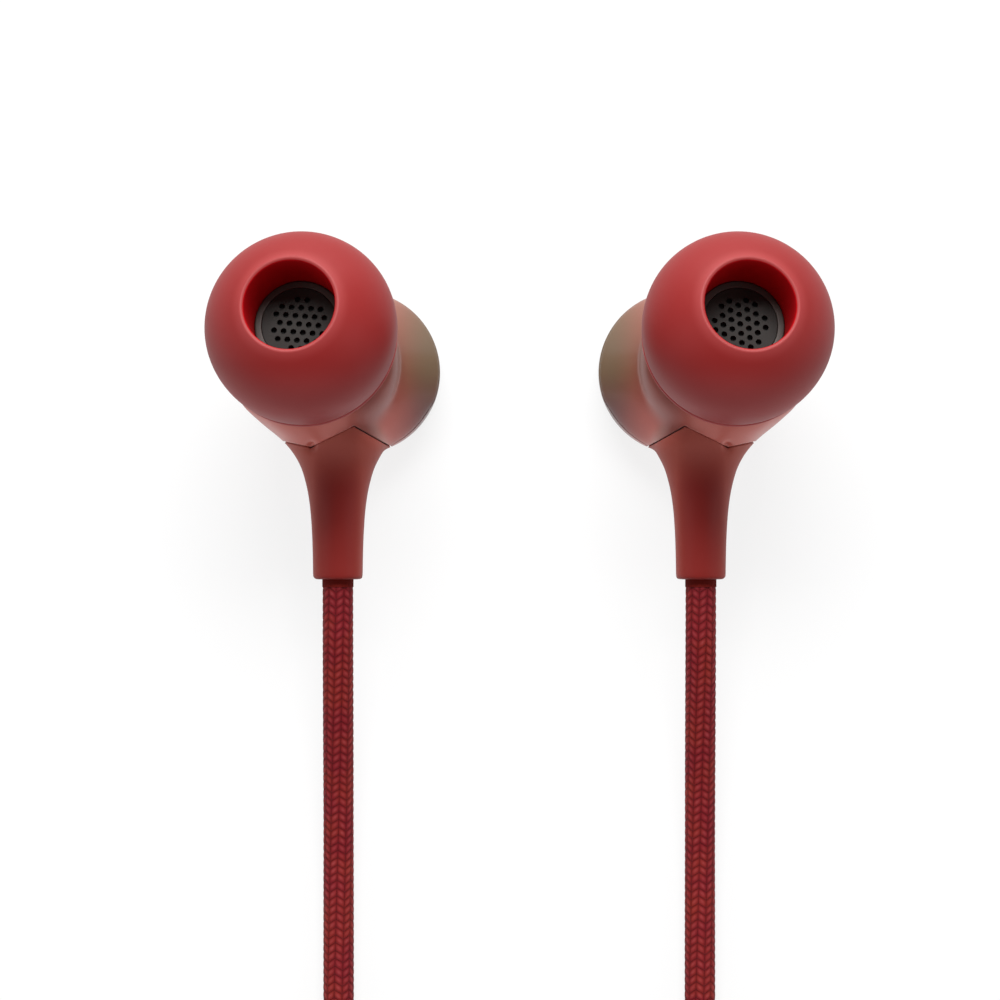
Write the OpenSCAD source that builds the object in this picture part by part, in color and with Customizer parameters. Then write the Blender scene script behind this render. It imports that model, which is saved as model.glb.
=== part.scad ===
// Wired in-ear earphones, lying on their flat back discs with the ear tips up.
// Millimetres. X runs across the pair, the right ear's bud at +X, the cords leave towards -Y,
// and Z = 0 is the surface that everything rests on. Both buds are mirror images about X = 0.

/* [Bud body] */
// Distance from the middle of the pair to the axis of each bud's back disc
bud_x = 10.65; // [9.5:0.05:13]
// Outer radius of the bud's drum
body_r = 5.4; // [5.2:0.05:6]
// Height of the rear shell, from the surface to the seam
cover_h = 3.2; // [3.1:0.05:3.6]
// Wall of both shells
shell_wall = 0.7; // [0.6:0.05:0.8]
// Rounding of the rear shell's lower edge
cover_edge_r = 0.9; // [0.4:0.05:1]
// Radius of the inlaid back disc
disc_r = 4.3; // [3.8:0.05:4.4]
// Thickness of the back disc
disc_t = 0.5; // [0.3:0.05:0.6]
// Floor of the rear shell above the disc
cover_floor = 0.6; // [0.4:0.05:0.65]
// How far the front shoulder is set outward of the back disc
shoulder_x = 2.5; // [1.8:0.05:2.7]
// How far the front shoulder is set up towards +Y
shoulder_y = 0.5; // [0:0.05:0.8]
// Height of the front shoulder's plane
shoulder_z = 6; // [5.8:0.05:6.6]

/* [Nozzle and grille] */
// Tilt of the nozzle away from the vertical
nozzle_tilt = 18.5; // [12:0.5:22]
// Direction of that tilt, measured from +X towards +Y
nozzle_turn = 64; // [50:1:75]
// Outer radius of the nozzle's neck
nozzle_r = 2.7; // [2.65:0.05:2.75]
// Outer radius of the lip that holds the ear tip
lip_r = 2.95; // [2.9:0.05:3.1]
// Bore of the nozzle
nozzle_bore_r = 2.1; // [1.8:0.05:2.2]
// Distance from the shoulder to the nozzle's end
nozzle_len = 8.9; // [8.4:0.1:9.4]
// Thickness of the grille's sheet
grille_t = 0.25; // [0.2:0.05:0.4]
// Hole of the grille
grille_hole_d = 0.38; // [0.3:0.02:0.42]
// Pitch of the grille's holes
grille_pitch = 0.64; // [0.6:0.02:0.8]

/* [Ear tip] */
// Largest radius of the ear tip
tip_r = 6.3; // [5.8:0.05:6.6]
// Distance from the shoulder to the widest section
tip_widest_at = 8.2; // [7.8:0.1:8.6]
// Height of the dome's full ellipse above the widest section
tip_dome_h = 5.82; // [5.4:0.05:6.2]
// Radius of the hole at the tip's mouth
tip_mouth_r = 3; // [2.98:0.02:3.15]
// Distance from the shoulder to the skirt's lower edge
skirt_at = 5.4; // [5:0.1:6]
// Wall of the skirt
skirt_wall = 0.55; // [0.45:0.05:0.7]
// Wall of the inner sleeve
sleeve_wall = 0.65; // [0.5:0.05:0.8]
// Distance from the shoulder to the sleeve's lower end
sleeve_at = 3.7; // [3.5:0.1:4.2]

/* [Stem boot] */
// Sideways place of the stem's axis from the disc's axis
stem_dx = 1.35; // [1.2:0.05:1.5]
// Height of the stem's axis
stem_z = 4.3; // [4.25:0.05:4.5]
// Radius of the stem near its end
stem_r = 1.63; // [1.6:0.01:1.8]
// Distance from the disc's axis to the stem's end
stem_end = 13.7; // [12.5:0.1:15]
// Growth of the boot's radius where it meets the drum
boot_flare = 1.62; // [1.2:0.02:1.8]
// Length over which that flare fades
boot_fade = 1.97; // [1.6:0.01:2.2]
// Radius of the boot's neck inside the drum's wall
neck_r = 1.5; // [1.4:0.05:1.55]

/* [Cord] */
// Diameter of the braided cord
cord_d = 2.04; // [1.9:0.02:2.1]
// Gap between neighbouring turns of a hank or coil
turn_gap = 0.46; // [0.44:0.01:0.5]
// Number of loops in each ear cord's hank
hank_loops = 3; // [3]
// Straight run of the hank between its folds
hank_run = 20; // [19:0.5:22]
// Half width of the hank at its outermost run
hank_out = 7.8; // [7.7:0.1:8]
// How far the tie draws the hank's runs in
hank_waist = 0.8; // [0.5:0.1:1]
// Loops in each layer of the main cord's coil
coil_loops = 3; // [3]
// Layers of the main cord's coil
coil_layers = 4; // [4]
// Outermost turn radius of the coil
coil_out = 13.7; // [13.5:0.1:14]
// Width of the ties along the cord
tie_w = 3; // [2:0.5:4]
// Thickness of the ties
tie_t = 0.4; // [0.3:0.05:0.5]

/* [Splitter] */
// Radius of the splitter's sleeve
splitter_r = 2.9; // [2.85:0.05:3.2]
// Length of the splitter
splitter_len = 16; // [14:0.5:18]
// How deep each cord seats in the splitter
splitter_seat = 4; // [3:0.5:5]

/* [Remote] */
// Length of the in-line remote
remote_len = 30; // [28:0.5:31]
// Width of the remote
remote_w = 8.6; // [8.2:0.1:9.4]
// Wall of the remote's shells
remote_wall = 1; // [0.8:0.1:1.2]
// Length of the remote's button
button_len = 11; // [9:0.5:12]
// Width of the remote's button
button_w = 4.4; // [4:0.1:4.8]
// How far the button stands proud of the remote
button_proud = 0.5; // [0.4:0.05:0.8]
// Travel of the button
button_travel = 0.25; // [0.2:0.01:0.3]

/* [Plug] */
// Radius of the plug's contact barrel
jack_r = 1.75; // [1.75]
// Length of the contact barrel
jack_len = 14; // [14]
// Radius of the plug's grip
grip_r = 3.4; // [3.2:0.1:3.8]
// Length of the grip
grip_len = 17; // [15:0.5:18]
// Length of the plug's bend relief
relief_len = 10; // [8:0.5:11]

/* [Clearances] */
// Radial gap where one piece slides in another
slide_gap = 0.03; // [0.02:0.01:0.05]
// Gap where pieces are glued or clamped together
seat_gap = 0.05; // [0.03:0.01:0.08]
// Gap round the cord in its bores
cord_gap = 0.05; // [0.03:0.01:0.08]

/* [Hidden] */
$fn = 64;

silicone_red = [0.55, 0.17, 0.16];
shell_bronze = [0.50, 0.33, 0.29];
boot_red = [0.42, 0.13, 0.13];
cord_red = [0.48, 0.15, 0.16];
grille_grey = [0.25, 0.22, 0.22];
steel_grey = [0.62, 0.62, 0.64];
copper = [0.72, 0.42, 0.25];
brass = [0.82, 0.68, 0.38];
board_green = [0.12, 0.32, 0.2];
film = [0.85, 0.83, 0.75];
tie_grey = [0.2, 0.2, 0.21];

// Where the nozzle points, and how far a tilted tip reaches up towards +Y.
nozzle_dir = [sin(nozzle_tilt) * cos(nozzle_turn), sin(nozzle_tilt) * sin(nozzle_turn), cos(nozzle_tilt)];
tip_top = shoulder_y + tip_widest_at * nozzle_dir[1]
    + norm([tip_dome_h * nozzle_dir[1], tip_r * sqrt(1 - pow(nozzle_dir[1], 2))]);
// The disc axis's place along Y puts the middle of both buds at Y = 0.
body_y = (stem_end - tip_top) / 2;
stem_x = bud_x + stem_dx;
stem_end_y = body_y - stem_end;

cord_r = cord_d / 2;
pitch = cord_d + turn_gap;
eps = 0.01;

// The front shell's loft: rings from the seam up to the nozzle's root.
loft_sides = 40;
shoulder_r = body_r - 0.1;
root_r = nozzle_r + 0.3;
root_rise = 2.4;
lean_rings = 4;
dome_rings = 7;
shoulder_tilt = 5;

// The driver's stack, from the rear shell's floor upward.
floor_z = disc_t + cover_floor;
spigot_wall = 0.45;
spigot_h = 0.8;
spigot_r = body_r - shell_wall - seat_gap;
driver_r = spigot_r - spigot_wall - seat_gap;
yoke_z = floor_z + 0.3;
yoke_t = 0.3;
yoke_r = 3.1;
magnet_h = 0.6;
magnet_r = 2.15;
coil_gap = 0.12;
voice_coil_t = 0.15;
plate_t = 0.25;
yoke_h = yoke_t + magnet_h + plate_t;
film_z = yoke_z + yoke_h + 0.25;
film_t = 0.08;
frame_top = film_z + film_t + 0.2;

knot_r = 0.85;
knot_y = body_y - 3.2;
cord_start_y = body_y - 4;
neck_in_y = body_y - 4.3;

// The height of the splitter's and remote's axis above the surface.
line_z = splitter_r;
tail_dx = 1.15;
splitter_y = -85;
splitter_end_y = splitter_y - splitter_len;
remote_y = splitter_end_y - 5;
remote_end_y = remote_y - remote_len;

hank_in_x = 5.4;
hank_x = hank_in_x + hank_out;
hank_top_y = -53;
hank_y = hank_top_y - hank_run / 2;
hank_bottom_y = hank_top_y - hank_run;
hank_lift = tie_t + 0.12;
rings_per_loop = 24;
hank_last = hank_loops * rings_per_loop + 4;

coil_x = -6.1;
coil_y = -153.5;
coil_top_z = cord_r + (coil_layers - 1) * pitch;
coil_last = coil_loops * coil_layers * rings_per_loop;

plug_x = 16;
plug_z = grip_r;
relief_y = -155;
grip_y = relief_y + relief_len;
jack_y = grip_y + grip_len;

// The right ear cord, from its knot to its hank.
ear_route = [
    [stem_x, cord_start_y, stem_z], [stem_x, neck_in_y - 3, stem_z], [stem_x, stem_end_y, stem_z],
    [12, -15, 4.1], [12, -20, 2.9], [12, -25, 1.7], [12, -30, 1.1], [12, -35, cord_r],
    [12, -40.5, cord_r], [11.6, -42.5, cord_r], [10.4, -44.2, cord_r], [8.7, -45.3, cord_r],
    [7, -46.4, cord_r], [5.8, -48.2, cord_r], [hank_in_x, -49.8, cord_r],
    [hank_in_x, hank_top_y + cord_d, cord_r]
];
// From the hank to the splitter.
tail_route = [
    [hank_in_x, hank_bottom_y - cord_d, cord_r + pitch], [hank_in_x, -76, 3.5], [5, -77.6, 3.4],
    [3.9, -79.2, 3.2], [2.5, -80.5, 3.1], [1.5, -82, 3], [tail_dx, -83.6, line_z],
    [tail_dx, splitter_y - splitter_seat, line_z]
];
// From the remote to the coil.
middle_route = [
    [0, remote_end_y + 3, line_z], [0, remote_end_y, line_z], [0, -138, 2.6], [0.5, -140.1, 2.1],
    [1.8, -141.8, 1.7], [3.8, -142.9, 1.35], [5.8, -143.9, 1.1], [7.1, -145.6, cord_r],
    [coil_x + coil_out, -147.7, cord_r], [coil_x + coil_out, coil_y + cord_d, cord_r]
];
// From the coil's top layer down to the plug.
end_route = [
    [coil_x + coil_out, coil_y - cord_d, coil_top_z], [coil_x + coil_out, coil_y - cord_d - 0.5, coil_top_z],
    [7.6, -157.5, 8.2], [8.2, -159.6, 7.5],
    [9.7, -161.1, 6.7], [11.8, -161.7, 5.8], [13.9, -161.1, 5], [15.4, -159.6, 4.3],
    [plug_x, -157.5, 3.7], [plug_x, relief_y, plug_z], [plug_x, relief_y + 4, plug_z]
];

// One point of the hank after k of its rings: down the inner run, round the lower fold,
// up the outer run and round the upper fold, spiralling in and, a layer up, out again.
function hank_part(k) = k % rings_per_loop;
function run_bump(j) = (j < 4 || (j > 12 && j < 16)) ? pow(sin(45 * (j % 4)), 2) : 0;
function hank_w(k) = hank_out - pitch * min(k, hank_last - k) / rings_per_loop
    - hank_waist * run_bump(hank_part(k));
function hank_climb(k) = min(1, max(0, (k - 36) / 4));
function hank_z(k) = cord_r + pitch * hank_climb(k) + hank_lift * run_bump(hank_part(k));
function hank_xy(j, w) =
    j <= 4 ? [-w, hank_run / 2 - hank_run * j / 4]
    : j <= 12 ? [-w * cos(22.5 * (j - 4)), -hank_run / 2 - w * sin(22.5 * (j - 4))]
    : j <= 16 ? [w, -hank_run / 2 + hank_run * (j - 12) / 4]
    : [w * cos(22.5 * (j - 16)), hank_run / 2 + w * sin(22.5 * (j - 16))];
function hank_point(k) = let (p = hank_xy(hank_part(k), hank_w(k)))
    [hank_x + p[0], hank_y + p[1], hank_z(k)];
hank_route = concat(
    [[hank_in_x, hank_top_y + cord_d, cord_r]],
    [for (k = [0:hank_last]) hank_point(k)],
    [[hank_in_x, hank_bottom_y - cord_d, cord_r + pitch]]
);

// One point of the main coil after t turns, clockwise from its right-hand side.
function coil_in(t) = let (u = t % (2 * coil_loops)) u < coil_loops ? u : 2 * coil_loops - u;
function coil_level(t) = [for (m = [1:coil_layers - 1])
    min(1, max(0, (t - m * coil_loops + 0.25) / 0.5))] * [for (m = [1:coil_layers - 1]) 1];
function tie_bump(t) = max(0, min(1, 1.5 - abs(360 * (t % 1) - 90) / 30));
function coil_point(t) = let (r = coil_out - pitch * coil_in(t))
    [coil_x + r * cos(-360 * t), coil_y + r * sin(-360 * t),
     cord_r + pitch * coil_level(t) + hank_lift * tie_bump(t)];
coil_route = concat(
    [[coil_x + coil_out, coil_y + cord_d, cord_r]],
    [for (k = [0:coil_last]) coil_point(k / rings_per_loop)],
    [[coil_x + coil_out, coil_y - cord_d, coil_top_z]]
);

// Lengths and least gaps of the wound stretches, measured on their points.
function length_of(path, i = 1) = i >= len(path) ? 0 : norm(path[i] - path[i - 1]) + length_of(path, i + 1);
function least_gap(path, skip) = min([for (i = [0:len(path) - 1]) for (j = [i + skip:1:len(path) - 1])
    norm(path[i] - path[j])]) - cord_d;
echo(ear_cord_m = (length_of(ear_route) + length_of(hank_route) + length_of(tail_route)) / 1000);
echo(main_cord_m = (splitter_seat * 2 + 5 + remote_len + length_of(middle_route) + length_of(coil_route)
    + length_of(end_route)) / 1000);
echo(hank_gap = least_gap(hank_route, 8), coil_gap = least_gap(coil_route, 8));

// A tube of even radius along a path, as one closed skin.
module tube(path, r, sides) {
    last = len(path) - 1;
    rings = [for (i = [0:last]) let (
        ahead = path[min(i + 1, last)] - path[max(i - 1, 0)],
        t = ahead / norm(ahead),
        across = cross(t, [0, 0, 1]),
        s = across / norm(across),
        u = cross(s, t))
        [for (a = [0:sides - 1]) let (f = 360 * (a + 0.5) / sides) path[i] + r * (cos(f) * s + sin(f) * u)]];
    points = [for (ring = rings) each ring];
    walls = [for (i = [0:last - 1]) for (a = [0:sides - 1]) let (
        b = (a + 1) % sides, p = i * sides)
        each [[p + a, p + sides + a, p + sides + b], [p + a, p + sides + b, p + b]]];
    caps = [
        [for (a = [0:sides - 1]) a],
        [for (a = [sides - 1:-1:0]) last * sides + a]
    ];
    polyhedron(points, concat(walls, caps));
}

// One ring of the front shell's loft: centre, radius and tilt towards the nozzle.
function tilted(p, tilt) = let (
    c = cos(nozzle_turn), s = sin(nozzle_turn),
    x = c * p[0] + s * p[1], y = -s * p[0] + c * p[1],
    xt = x * cos(tilt) + p[2] * sin(tilt), zt = -x * sin(tilt) + p[2] * cos(tilt))
    [c * xt - s * y, s * xt + c * y, zt];
shoulder_at = [shoulder_x, shoulder_y, shoulder_z];
function loft_rings(skin, start_z) = concat(
    [for (i = [0:lean_rings]) let (f = i / lean_rings, g = pow(sin(90 * f), 1.2))
        [[shoulder_x * f, shoulder_y * f, start_z + (shoulder_z - start_z) * f],
         body_r + (shoulder_r - body_r) * f - skin, shoulder_tilt * g]],
    [for (i = [1:dome_rings]) let (a = 90 * i / dome_rings)
        [shoulder_at + tilted([0, 0, (root_rise - skin) * sin(a)], nozzle_tilt * sin(a)),
         root_r - skin + (shoulder_r - root_r) * cos(a),
         shoulder_tilt + (nozzle_tilt - shoulder_tilt) * sin(a)]]
);
module loft(skin, start_z) {
    rings = loft_rings(skin, start_z);
    last = len(rings) - 1;
    points = [for (ring = rings) for (k = [0:loft_sides - 1])
        ring[0] + tilted([ring[1] * cos(360 * k / loft_sides), ring[1] * sin(360 * k / loft_sides), 0], ring[2])];
    walls = [for (i = [0:last - 1]) for (a = [0:loft_sides - 1]) let (
        b = (a + 1) % loft_sides, p = i * loft_sides)
        each [[p + a, p + loft_sides + a, p + loft_sides + b], [p + a, p + loft_sides + b, p + b]]];
    caps = [
        [for (a = [0:loft_sides - 1]) a],
        [for (a = [loft_sides - 1:-1:0]) last * loft_sides + a]
    ];
    polyhedron(points, concat(walls, caps));
}

// Places: a bud on its side of the pair, the nozzle's own axis, and the stem's own axis.
module on_side(side) {
    if (side > 0) children();
    else mirror([1, 0, 0]) children();
}
module at_bud(side) on_side(side) translate([bud_x, body_y, 0]) children();
module at_nozzle(side) at_bud(side) translate(shoulder_at) rotate([0, nozzle_tilt, nozzle_turn]) children();
module at_stem(side) on_side(side) translate([stem_x, 0, stem_z]) rotate([90, 0, 0]) children();
module ring(outer, inner, h) difference() {
    cylinder(r = outer, h = h);
    translate([0, 0, -eps]) cylinder(r = inner, h = h + 2 * eps);
}

// ---- ear tip: a dome whose skirt folds back round a sleeve on the nozzle ----
tip_sleeve_r = lip_r + slide_gap;
rim_r = 0.42;
dome_end = acos((tip_mouth_r + 2 * rim_r) / tip_r);
function dome(r, h, from, to, steps) = [for (i = [0:steps]) let (a = from + (to - from) * i / steps)
    [r * cos(a), tip_widest_at + h * sin(a)]];
rim_z = tip_widest_at + tip_dome_h * sin(dome_end);
module tip_profile() polygon(concat(
    [[tip_sleeve_r, sleeve_at], [tip_sleeve_r + sleeve_wall, sleeve_at]],
    [[tip_sleeve_r + sleeve_wall, rim_z - 2.6]],
    dome(tip_r - skirt_wall, tip_dome_h - skirt_wall, dome_end - 12, 0, 6),
    [[tip_r - skirt_wall - 0.25, skirt_at + 0.2], [tip_r - skirt_wall - 0.1, skirt_at]],
    [[tip_r - 0.42, skirt_at + 0.05]],
    [for (i = [0:3]) let (a = -40 + 40 * i / 4)
        [tip_r - (1 - cos(a)) * 1.7, tip_widest_at + (tip_widest_at - skirt_at - 0.3) * sin(a) / sin(40)]],
    dome(tip_r, tip_dome_h, 0, dome_end, 12),
    [for (i = [1:6]) let (a = 60 + 120 * i / 6)
        [tip_mouth_r + rim_r + rim_r * cos(a), rim_z - 0.05 + rim_r * sin(a)]],
    [[tip_sleeve_r, rim_z - 1]]
));
module ear_tip(side) color(silicone_red) at_nozzle(side) rotate_extrude() tip_profile();

// ---- shells ----
module stem_hole() translate([stem_dx, -3.6, stem_z]) rotate([90, 0, 0])
    cylinder(r = neck_r + seat_gap, h = 4);
module front_housing(side) color(shell_bronze) {
    at_bud(side) difference() {
        union() {
            loft(0, cover_h);
            translate([0, 0, cover_h - spigot_h]) cylinder(r = spigot_r, h = spigot_h + eps);
            translate(shoulder_at) rotate([0, nozzle_tilt, nozzle_turn]) {
                cylinder(r = nozzle_r, h = nozzle_len);
                translate([0, 0, nozzle_len - 1.2]) cylinder(r = lip_r, h = 1.2);
                translate([0, 0, nozzle_len - 1.6]) cylinder(r1 = nozzle_r, r2 = lip_r, h = 0.4);
            }
        }
        loft(shell_wall, cover_h + eps);
        translate([0, 0, cover_h - spigot_h - eps]) cylinder(r = spigot_r - spigot_wall, h = spigot_h + 0.1);
        translate(shoulder_at) rotate([0, nozzle_tilt, nozzle_turn]) {
            cylinder(r = nozzle_bore_r, h = nozzle_len + eps);
            translate([0, 0, nozzle_len - grille_t - 0.1]) cylinder(r = nozzle_bore_r + 0.4, h = grille_t + 0.2);
        }
        stem_hole();
    }
}
module back_cover(side) color(shell_bronze) at_bud(side) difference() {
    rotate_extrude() polygon(concat(
        [[0, disc_t], [disc_r + seat_gap, disc_t], [disc_r + seat_gap, 0.06]],
        [for (i = [0:5]) let (a = -90 + 90 * i / 5)
            [body_r - cover_edge_r + cover_edge_r * cos(a), cover_edge_r + cover_edge_r * sin(a)]],
        [[body_r, cover_h], [body_r - shell_wall, cover_h], [body_r - shell_wall, floor_z], [0, floor_z]]
    ));
    stem_hole();
}
module back_disc(side) color(steel_grey) at_bud(side) cylinder(r = disc_r, h = disc_t);

// ---- nozzle contents: a row-by-row honeycomb of holes, kept inside a plain margin ----
grille_rows = 3;
module nozzle_grille(side) color(grille_grey) at_nozzle(side)
    translate([0, 0, nozzle_len - grille_t - 0.1]) difference() {
        cylinder(r = nozzle_bore_r + 0.4 - seat_gap, h = grille_t);
        for (j = [-grille_rows:grille_rows]) for (i = [-grille_rows:grille_rows]) {
            p = [(i + j / 2) * grille_pitch, j * grille_pitch * sqrt(3) / 2];
            if (norm(p) < nozzle_bore_r - grille_hole_d / 2)
                translate([p[0], p[1], -eps]) cylinder(d = grille_hole_d, h = grille_t + 2 * eps, $fn = 16);
        }
    }
module acoustic_damper(side) color(film) at_nozzle(side)
    translate([0, 0, nozzle_len - grille_t - 0.1 - 0.9]) cylinder(r = nozzle_bore_r - slide_gap, h = 0.8);

// ---- driver ----
module at_driver(side, z) at_bud(side) translate([0, 0, z]) children();
module driver_yoke(side) color(steel_grey) at_driver(side, yoke_z) difference() {
    cylinder(r = yoke_r, h = yoke_h);
    translate([0, 0, yoke_t]) cylinder(r = yoke_r - 0.3, h = yoke_h);
}
module driver_magnet(side) color(tie_grey) at_driver(side, yoke_z + yoke_t)
    cylinder(r = magnet_r, h = magnet_h);
module driver_top_plate(side) color(steel_grey) at_driver(side, yoke_z + yoke_t + magnet_h)
    cylinder(r = magnet_r, h = plate_t);
module voice_coil(side) color(copper) at_driver(side, yoke_z + yoke_h - 0.4)
    ring(magnet_r + coil_gap + voice_coil_t, magnet_r + coil_gap, film_z - yoke_z - yoke_h + 0.4);
module diaphragm(side) color(film) at_driver(side, film_z) rotate_extrude() polygon([
    [0, 0.3], [magnet_r, 0], [yoke_r, 0.12], [driver_r - 0.25, 0], [driver_r - 0.25, film_t],
    [yoke_r, 0.12 + film_t], [magnet_r, film_t], [0, 0.3 + film_t]
]);
module driver_frame(side) color(tie_grey) at_driver(side, yoke_z + yoke_t) difference() {
    cylinder(r = driver_r, h = frame_top - yoke_z - yoke_t);
    translate([0, 0, -eps]) cylinder(r = yoke_r + slide_gap, h = 5);
    translate([0, 0, film_z - yoke_z - yoke_t]) cylinder(r = driver_r - 0.25 + slide_gap, h = 5);
    translate([0, 0, film_z - yoke_z - yoke_t - 0.5]) cylinder(r = driver_r - 0.5, h = 5);
}
module terminal_board(side) color(board_green) at_bud(side)
    translate([stem_dx - 1.4, -3.4, floor_z]) cube([2.8, 1.8, 0.25]);

// ---- stem boot: flares out of the stem and wraps the drum's lower side ----
function boot_radius(y) = stem_r + boot_flare * exp((y + 5) / boot_fade);
boot_top = 4.4;
boot_steps = 14;
module boot_skin() rotate_extrude() polygon(concat(
    [[0, -body_y + boot_top]],
    [for (i = [0:boot_steps]) let (d = boot_top + (stem_end - 0.35 - boot_top) * pow(i / boot_steps, 1.7))
        [boot_radius(-d), d - body_y]],
    [[stem_r - 0.08, stem_end - 0.1 - body_y], [stem_r - 0.3, stem_end - body_y], [0, stem_end - body_y]]
));
module stem_boot(side) color(boot_red) difference() {
    union() {
        difference() {
            at_stem(side) boot_skin();
            at_bud(side) {
                translate([0, 0, -1]) cylinder(r = body_r + 3 * seat_gap, h = cover_h + 1 + 3 * seat_gap);
                loft(-seat_gap, cover_h);
            }
        }
        at_stem(side) translate([0, 0, -neck_in_y]) cylinder(r = neck_r, h = 3);
    }
    at_stem(side) translate([0, 0, -neck_in_y - 1]) cylinder(r = cord_r + cord_gap, h = stem_end);
}
module cord_knot(side) color(cord_red) on_side(side) translate([stem_x, knot_y, stem_z])
    rotate([90, 0, 0]) rotate_extrude() polygon(concat(
        [[0, -knot_r]],
        [for (i = [1:7]) let (a = -90 + 22.5 * i * 0.92) [knot_r * cos(a), knot_r * sin(a)]],
        [[0.5, knot_y - cord_start_y], [0, knot_y - cord_start_y]]
    ));

// ---- ear cords ----
module ear_cord(side) color(cord_red) on_side(side) tube(ear_route, cord_r, 8);
module ear_cord_hank(side) color(cord_red) on_side(side) tube(hank_route, cord_r, 6);
module ear_cord_tail(side) color(cord_red) on_side(side) tube(tail_route, cord_r, 8);

// A band round a wound bundle: a rounded box with a rounded box cut out of it.
module rounded(w, h, r) {
    translate([r, 0]) square([w - 2 * r, h]);
    translate([0, r]) square([w, h - 2 * r]);
    for (x = [r, w - r]) for (y = [r, h - r]) translate([x, y]) circle(r = r);
}
tie_gap = 0.25;
module band(w, h, length) linear_extrude(height = length) difference() {
    rounded(w, h, 1.1);
    translate([tie_t, tie_t]) rounded(w - 2 * tie_t, h - 2 * tie_t, 0.7);
}
hank_left = hank_x - hank_w(2) - cord_r - tie_gap - tie_t;
hank_right = hank_x + hank_w(14) + cord_r + tie_gap + tie_t;
module hank_tie(side) color(tie_grey) on_side(side)
    translate([hank_left, hank_y + tie_w / 2, 0]) rotate([90, 0, 0])
        band(hank_right - hank_left, cord_d + pitch + hank_lift + tie_gap + tie_t, tie_w);

// ---- splitter ----
module along_line(y) translate([0, y, line_z]) rotate([90, 0, 0]) children();
module splitter_sleeve() color(boot_red) difference() {
    along_line(splitter_y) rotate_extrude() polygon([
        [0, 0], [splitter_r - 0.25, 0], [splitter_r, 0.25], [splitter_r, splitter_len - 5],
        [splitter_r - 0.3, splitter_len - 3.5], [cord_r + 0.75, splitter_len - 0.2],
        [cord_r + 0.55, splitter_len], [0, splitter_len]
    ]);
    for (x = [-tail_dx, tail_dx]) translate([x, 0, 0]) along_line(splitter_y + eps)
        cylinder(r = cord_r + cord_gap, h = splitter_seat + eps);
    along_line(splitter_y - splitter_seat + eps) cylinder(r = 2.3, h = splitter_len - 2 * splitter_seat);
    along_line(splitter_end_y + splitter_seat + eps) cylinder(r = cord_r + cord_gap, h = splitter_seat + 1);
}
module splitter_core() color(film) along_line(splitter_y - splitter_seat)
    cylinder(r = 2.3 - seat_gap, h = splitter_len - 2 * splitter_seat);
module main_cord_top() color(cord_red) tube([
    [0, splitter_end_y + splitter_seat, line_z], [0, splitter_end_y, line_z],
    [0, remote_y, line_z], [0, remote_y - 3, line_z]], cord_r, 8);

// ---- remote: two shells round a board with a dome switch and a microphone ----
module stadium(w, length) {
    translate([-w / 2, -length + w / 2]) square([w, length - w]);
    translate([0, -w / 2]) circle(d = w);
    translate([0, -length + w / 2]) circle(d = w);
}
module remote_block(inset, z0, z1) translate([0, remote_y - inset, z0])
    linear_extrude(height = z1 - z0) stadium(remote_w - 2 * inset, remote_len - 2 * inset);
remote_h = 2 * line_z;
board_t = 0.6;
board_z = line_z - 0.9 - board_t;
button_y = remote_y - remote_len / 2;
mic_y = remote_y - remote_len + 6.8;
seat_len = 3.2;
module cord_seats() along_line(remote_y + 1) {
    cylinder(r = cord_r + cord_gap, h = 4 + eps);
    translate([0, 0, remote_len - 2]) cylinder(r = cord_r + cord_gap, h = 4);
}
module remote_back_shell() color(boot_red) difference() {
    remote_block(0, 0, line_z);
    difference() {
        remote_block(remote_wall, remote_wall, line_z + eps);
        for (y = [remote_y, remote_end_y + seat_len]) translate([-remote_w, y - seat_len, 0])
            cube([2 * remote_w, seat_len, remote_h]);
    }
    cord_seats();
}
module remote_front_shell() color(boot_red) difference() {
    remote_block(0, line_z, remote_h);
    difference() {
        remote_block(remote_wall, line_z - eps, remote_h - remote_wall);
        for (y = [remote_y, remote_end_y + seat_len]) translate([-remote_w, y - seat_len, 0])
            cube([2 * remote_w, seat_len, remote_h]);
    }
    cord_seats();
    translate([0, button_y + button_len / 2 + slide_gap, line_z]) linear_extrude(height = 10)
        stadium(button_w + 2 * slide_gap, button_len + 2 * slide_gap);
    translate([0, mic_y, line_z]) cylinder(d = 0.9, h = 10);
}
module remote_button() color(silicone_red) {
    translate([0, button_y + button_len / 2, remote_h - remote_wall - 0.05]) linear_extrude(
        height = remote_wall + 0.05 + button_proud) stadium(button_w, button_len);
    translate([0, button_y + button_len / 2 + 0.6, remote_h - remote_wall - 0.45]) linear_extrude(
        height = 0.4) stadium(button_w + 1.2, button_len + 1.2);
    translate([0, button_y, switch_top + button_travel + 0.05]) cylinder(
        r = 0.8, h = remote_h - remote_wall - 0.45 - switch_top - button_travel - 0.05 + eps);
}
switch_top = board_z + board_t + 0.9;
module remote_board() color(board_green) translate([-2.6, remote_end_y + 4, board_z])
    cube([5.2, remote_len - 8, board_t]);
module remote_switch() color(steel_grey) translate([0, button_y, board_z + board_t]) {
    translate([-1.6, -1.6, 0]) cube([3.2, 3.2, 0.5]);
    cylinder(r = 1.1, h = 0.9);
}
module remote_microphone() color(steel_grey) translate([0, mic_y, board_z + board_t])
    cylinder(r = 1.7, h = remote_h - remote_wall - board_z - board_t - 0.3);

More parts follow.
